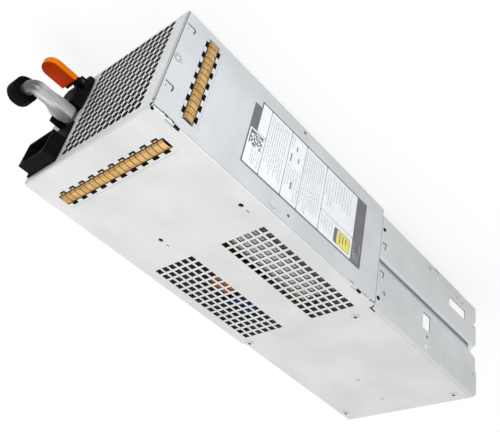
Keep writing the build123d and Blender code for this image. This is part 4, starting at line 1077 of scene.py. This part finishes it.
dress_nodes()
inner_pieces()
label_print()
side_marks()
corner_marks()
wall_mark_shadows()
end_fold()
upper_edge()
wall_hole_shadows()
seat_marks()
notch_shadows()
top_marks()
handle_piece()
rolled_strap()


# Stage


def area_light(name, place, aim, size, power, colour=(1, 1, 1)):
    """A round lamp at a place in metres, turned towards an aim."""
    data = bpy.data.lights.new(name, "AREA")
    data.shape = "DISK"
    data.size = size
    data.energy = power
    data.color = colour
    lamp = bpy.data.objects.new(name, data)
    lamp.location = place
    lamp.rotation_euler = (Vector(aim) - Vector(place)).to_track_quat("-Z", "Y").to_euler()
    bpy.context.scene.collection.objects.link(lamp)


def seen_directly(nodes, links):
    """One for camera, glossy and transmission rays, and nought for the rest."""
    path = nodes.new("ShaderNodeLightPath")
    total = path.outputs["Is Camera Ray"]
    for name in ("Is Glossy Ray", "Is Transmission Ray"):
        add = nodes.new("ShaderNodeMath")
        add.operation = "MAXIMUM"
        links.new(total, add.inputs[0])
        links.new(path.outputs[name], add.inputs[1])
        total = add.outputs[0]
    return total


def white_world(light_level):
    """A white backdrop that lights the object at a plain level."""
    world = bpy.data.worlds.new("studio")
    bpy.context.scene.world = world
    world.use_nodes = True
    nodes, links = world.node_tree.nodes, world.node_tree.links
    backdrop = nodes["Background"]
    backdrop.inputs["Color"].default_value = (1, 1, 1, 1)
    backdrop.inputs["Strength"].default_value = 1.0
    fill = nodes.new("ShaderNodeBackground")
    fill.inputs["Color"].default_value = (1, 1, 1, 1)
    fill.inputs["Strength"].default_value = light_level
    mix = nodes.new("ShaderNodeMixShader")
    links.new(seen_directly(nodes, links), mix.inputs[0])
    links.new(fill.outputs[0], mix.inputs[1])
    links.new(backdrop.outputs[0], mix.inputs[2])
    links.new(mix.outputs[0], nodes["World Output"].inputs["Surface"])


def pale_floor():
    """White floor that glows for the camera and keeps a soft shadow."""
    tone, glow_level, glow_share = 0.9, 1.05, 0.8
    bpy.ops.mesh.primitive_plane_add(size=8, location=(0, 0, -0.0006))
    floor = bpy.context.object
    floor.name = "floor"
    material = bpy.data.materials.new("floor_white")
    material.use_nodes = True
    nodes, links = material.node_tree.nodes, material.node_tree.links
    nodes.remove(nodes["Principled BSDF"])
    matt = nodes.new("ShaderNodeBsdfDiffuse")
    matt.inputs["Color"].default_value = (tone, tone, tone, 1)
    glow = nodes.new("ShaderNodeEmission")
    glow.inputs["Color"].default_value = (1, 1, 1, 1)
    glow.inputs["Strength"].default_value = glow_level
    share = nodes.new("ShaderNodeMath")
    share.operation = "MULTIPLY"
    share.inputs[1].default_value = glow_share
    links.new(seen_directly(nodes, links), share.inputs[0])
    mix = nodes.new("ShaderNodeMixShader")
    links.new(share.outputs[0], mix.inputs[0])
    links.new(matt.outputs[0], mix.inputs[1])
    links.new(glow.outputs[0], mix.inputs[2])
    links.new(mix.outputs[0], nodes["Material Output"].inputs["Surface"])
    floor.data.materials.append(material)


def photo_camera():
    """Camera at the photograph's viewpoint, rolled over as the photograph is."""
    data = bpy.data.cameras.new("photo_camera")
    camera = bpy.data.objects.new("photo_camera", data)
    bpy.context.scene.collection.objects.link(camera)
    stand = at(-309.49, -123.34, 355.63)
    aim = at(-9.76, 136.47, 42.5)
    roll = Matrix.Rotation(math.radians(193.07), 3, "Z")
    camera.location = stand
    camera.rotation_euler = ((aim - stand).to_track_quat("-Z", "Y").to_matrix() @ roll).to_euler()
    data.sensor_width = 36
    data.lens = 52.85
    data.shift_x = -0.0281
    data.shift_y = 0.0129
    data.clip_start = 0.01
    bpy.context.scene.camera = camera


bpy.context.scene.view_settings.view_transform = "Standard"
white_world(0.5)
pale_floor()
area_light("key", (0.5, 0.05, 1.5), (0, 0, 0.04), 1.3, 11.6)
area_light("near_side", (-0.42, -0.36, 0.09), (-0.06, -0.13, 0.04), 0.3, 1.6, (0.9, 0.96, 1.0))
area_light("side_wash", (-1.5, 0.25, 0.35), (0, 0.05, 0.04), 1.2, 0.9, (0.0, 0.5, 1.0))
photo_camera()
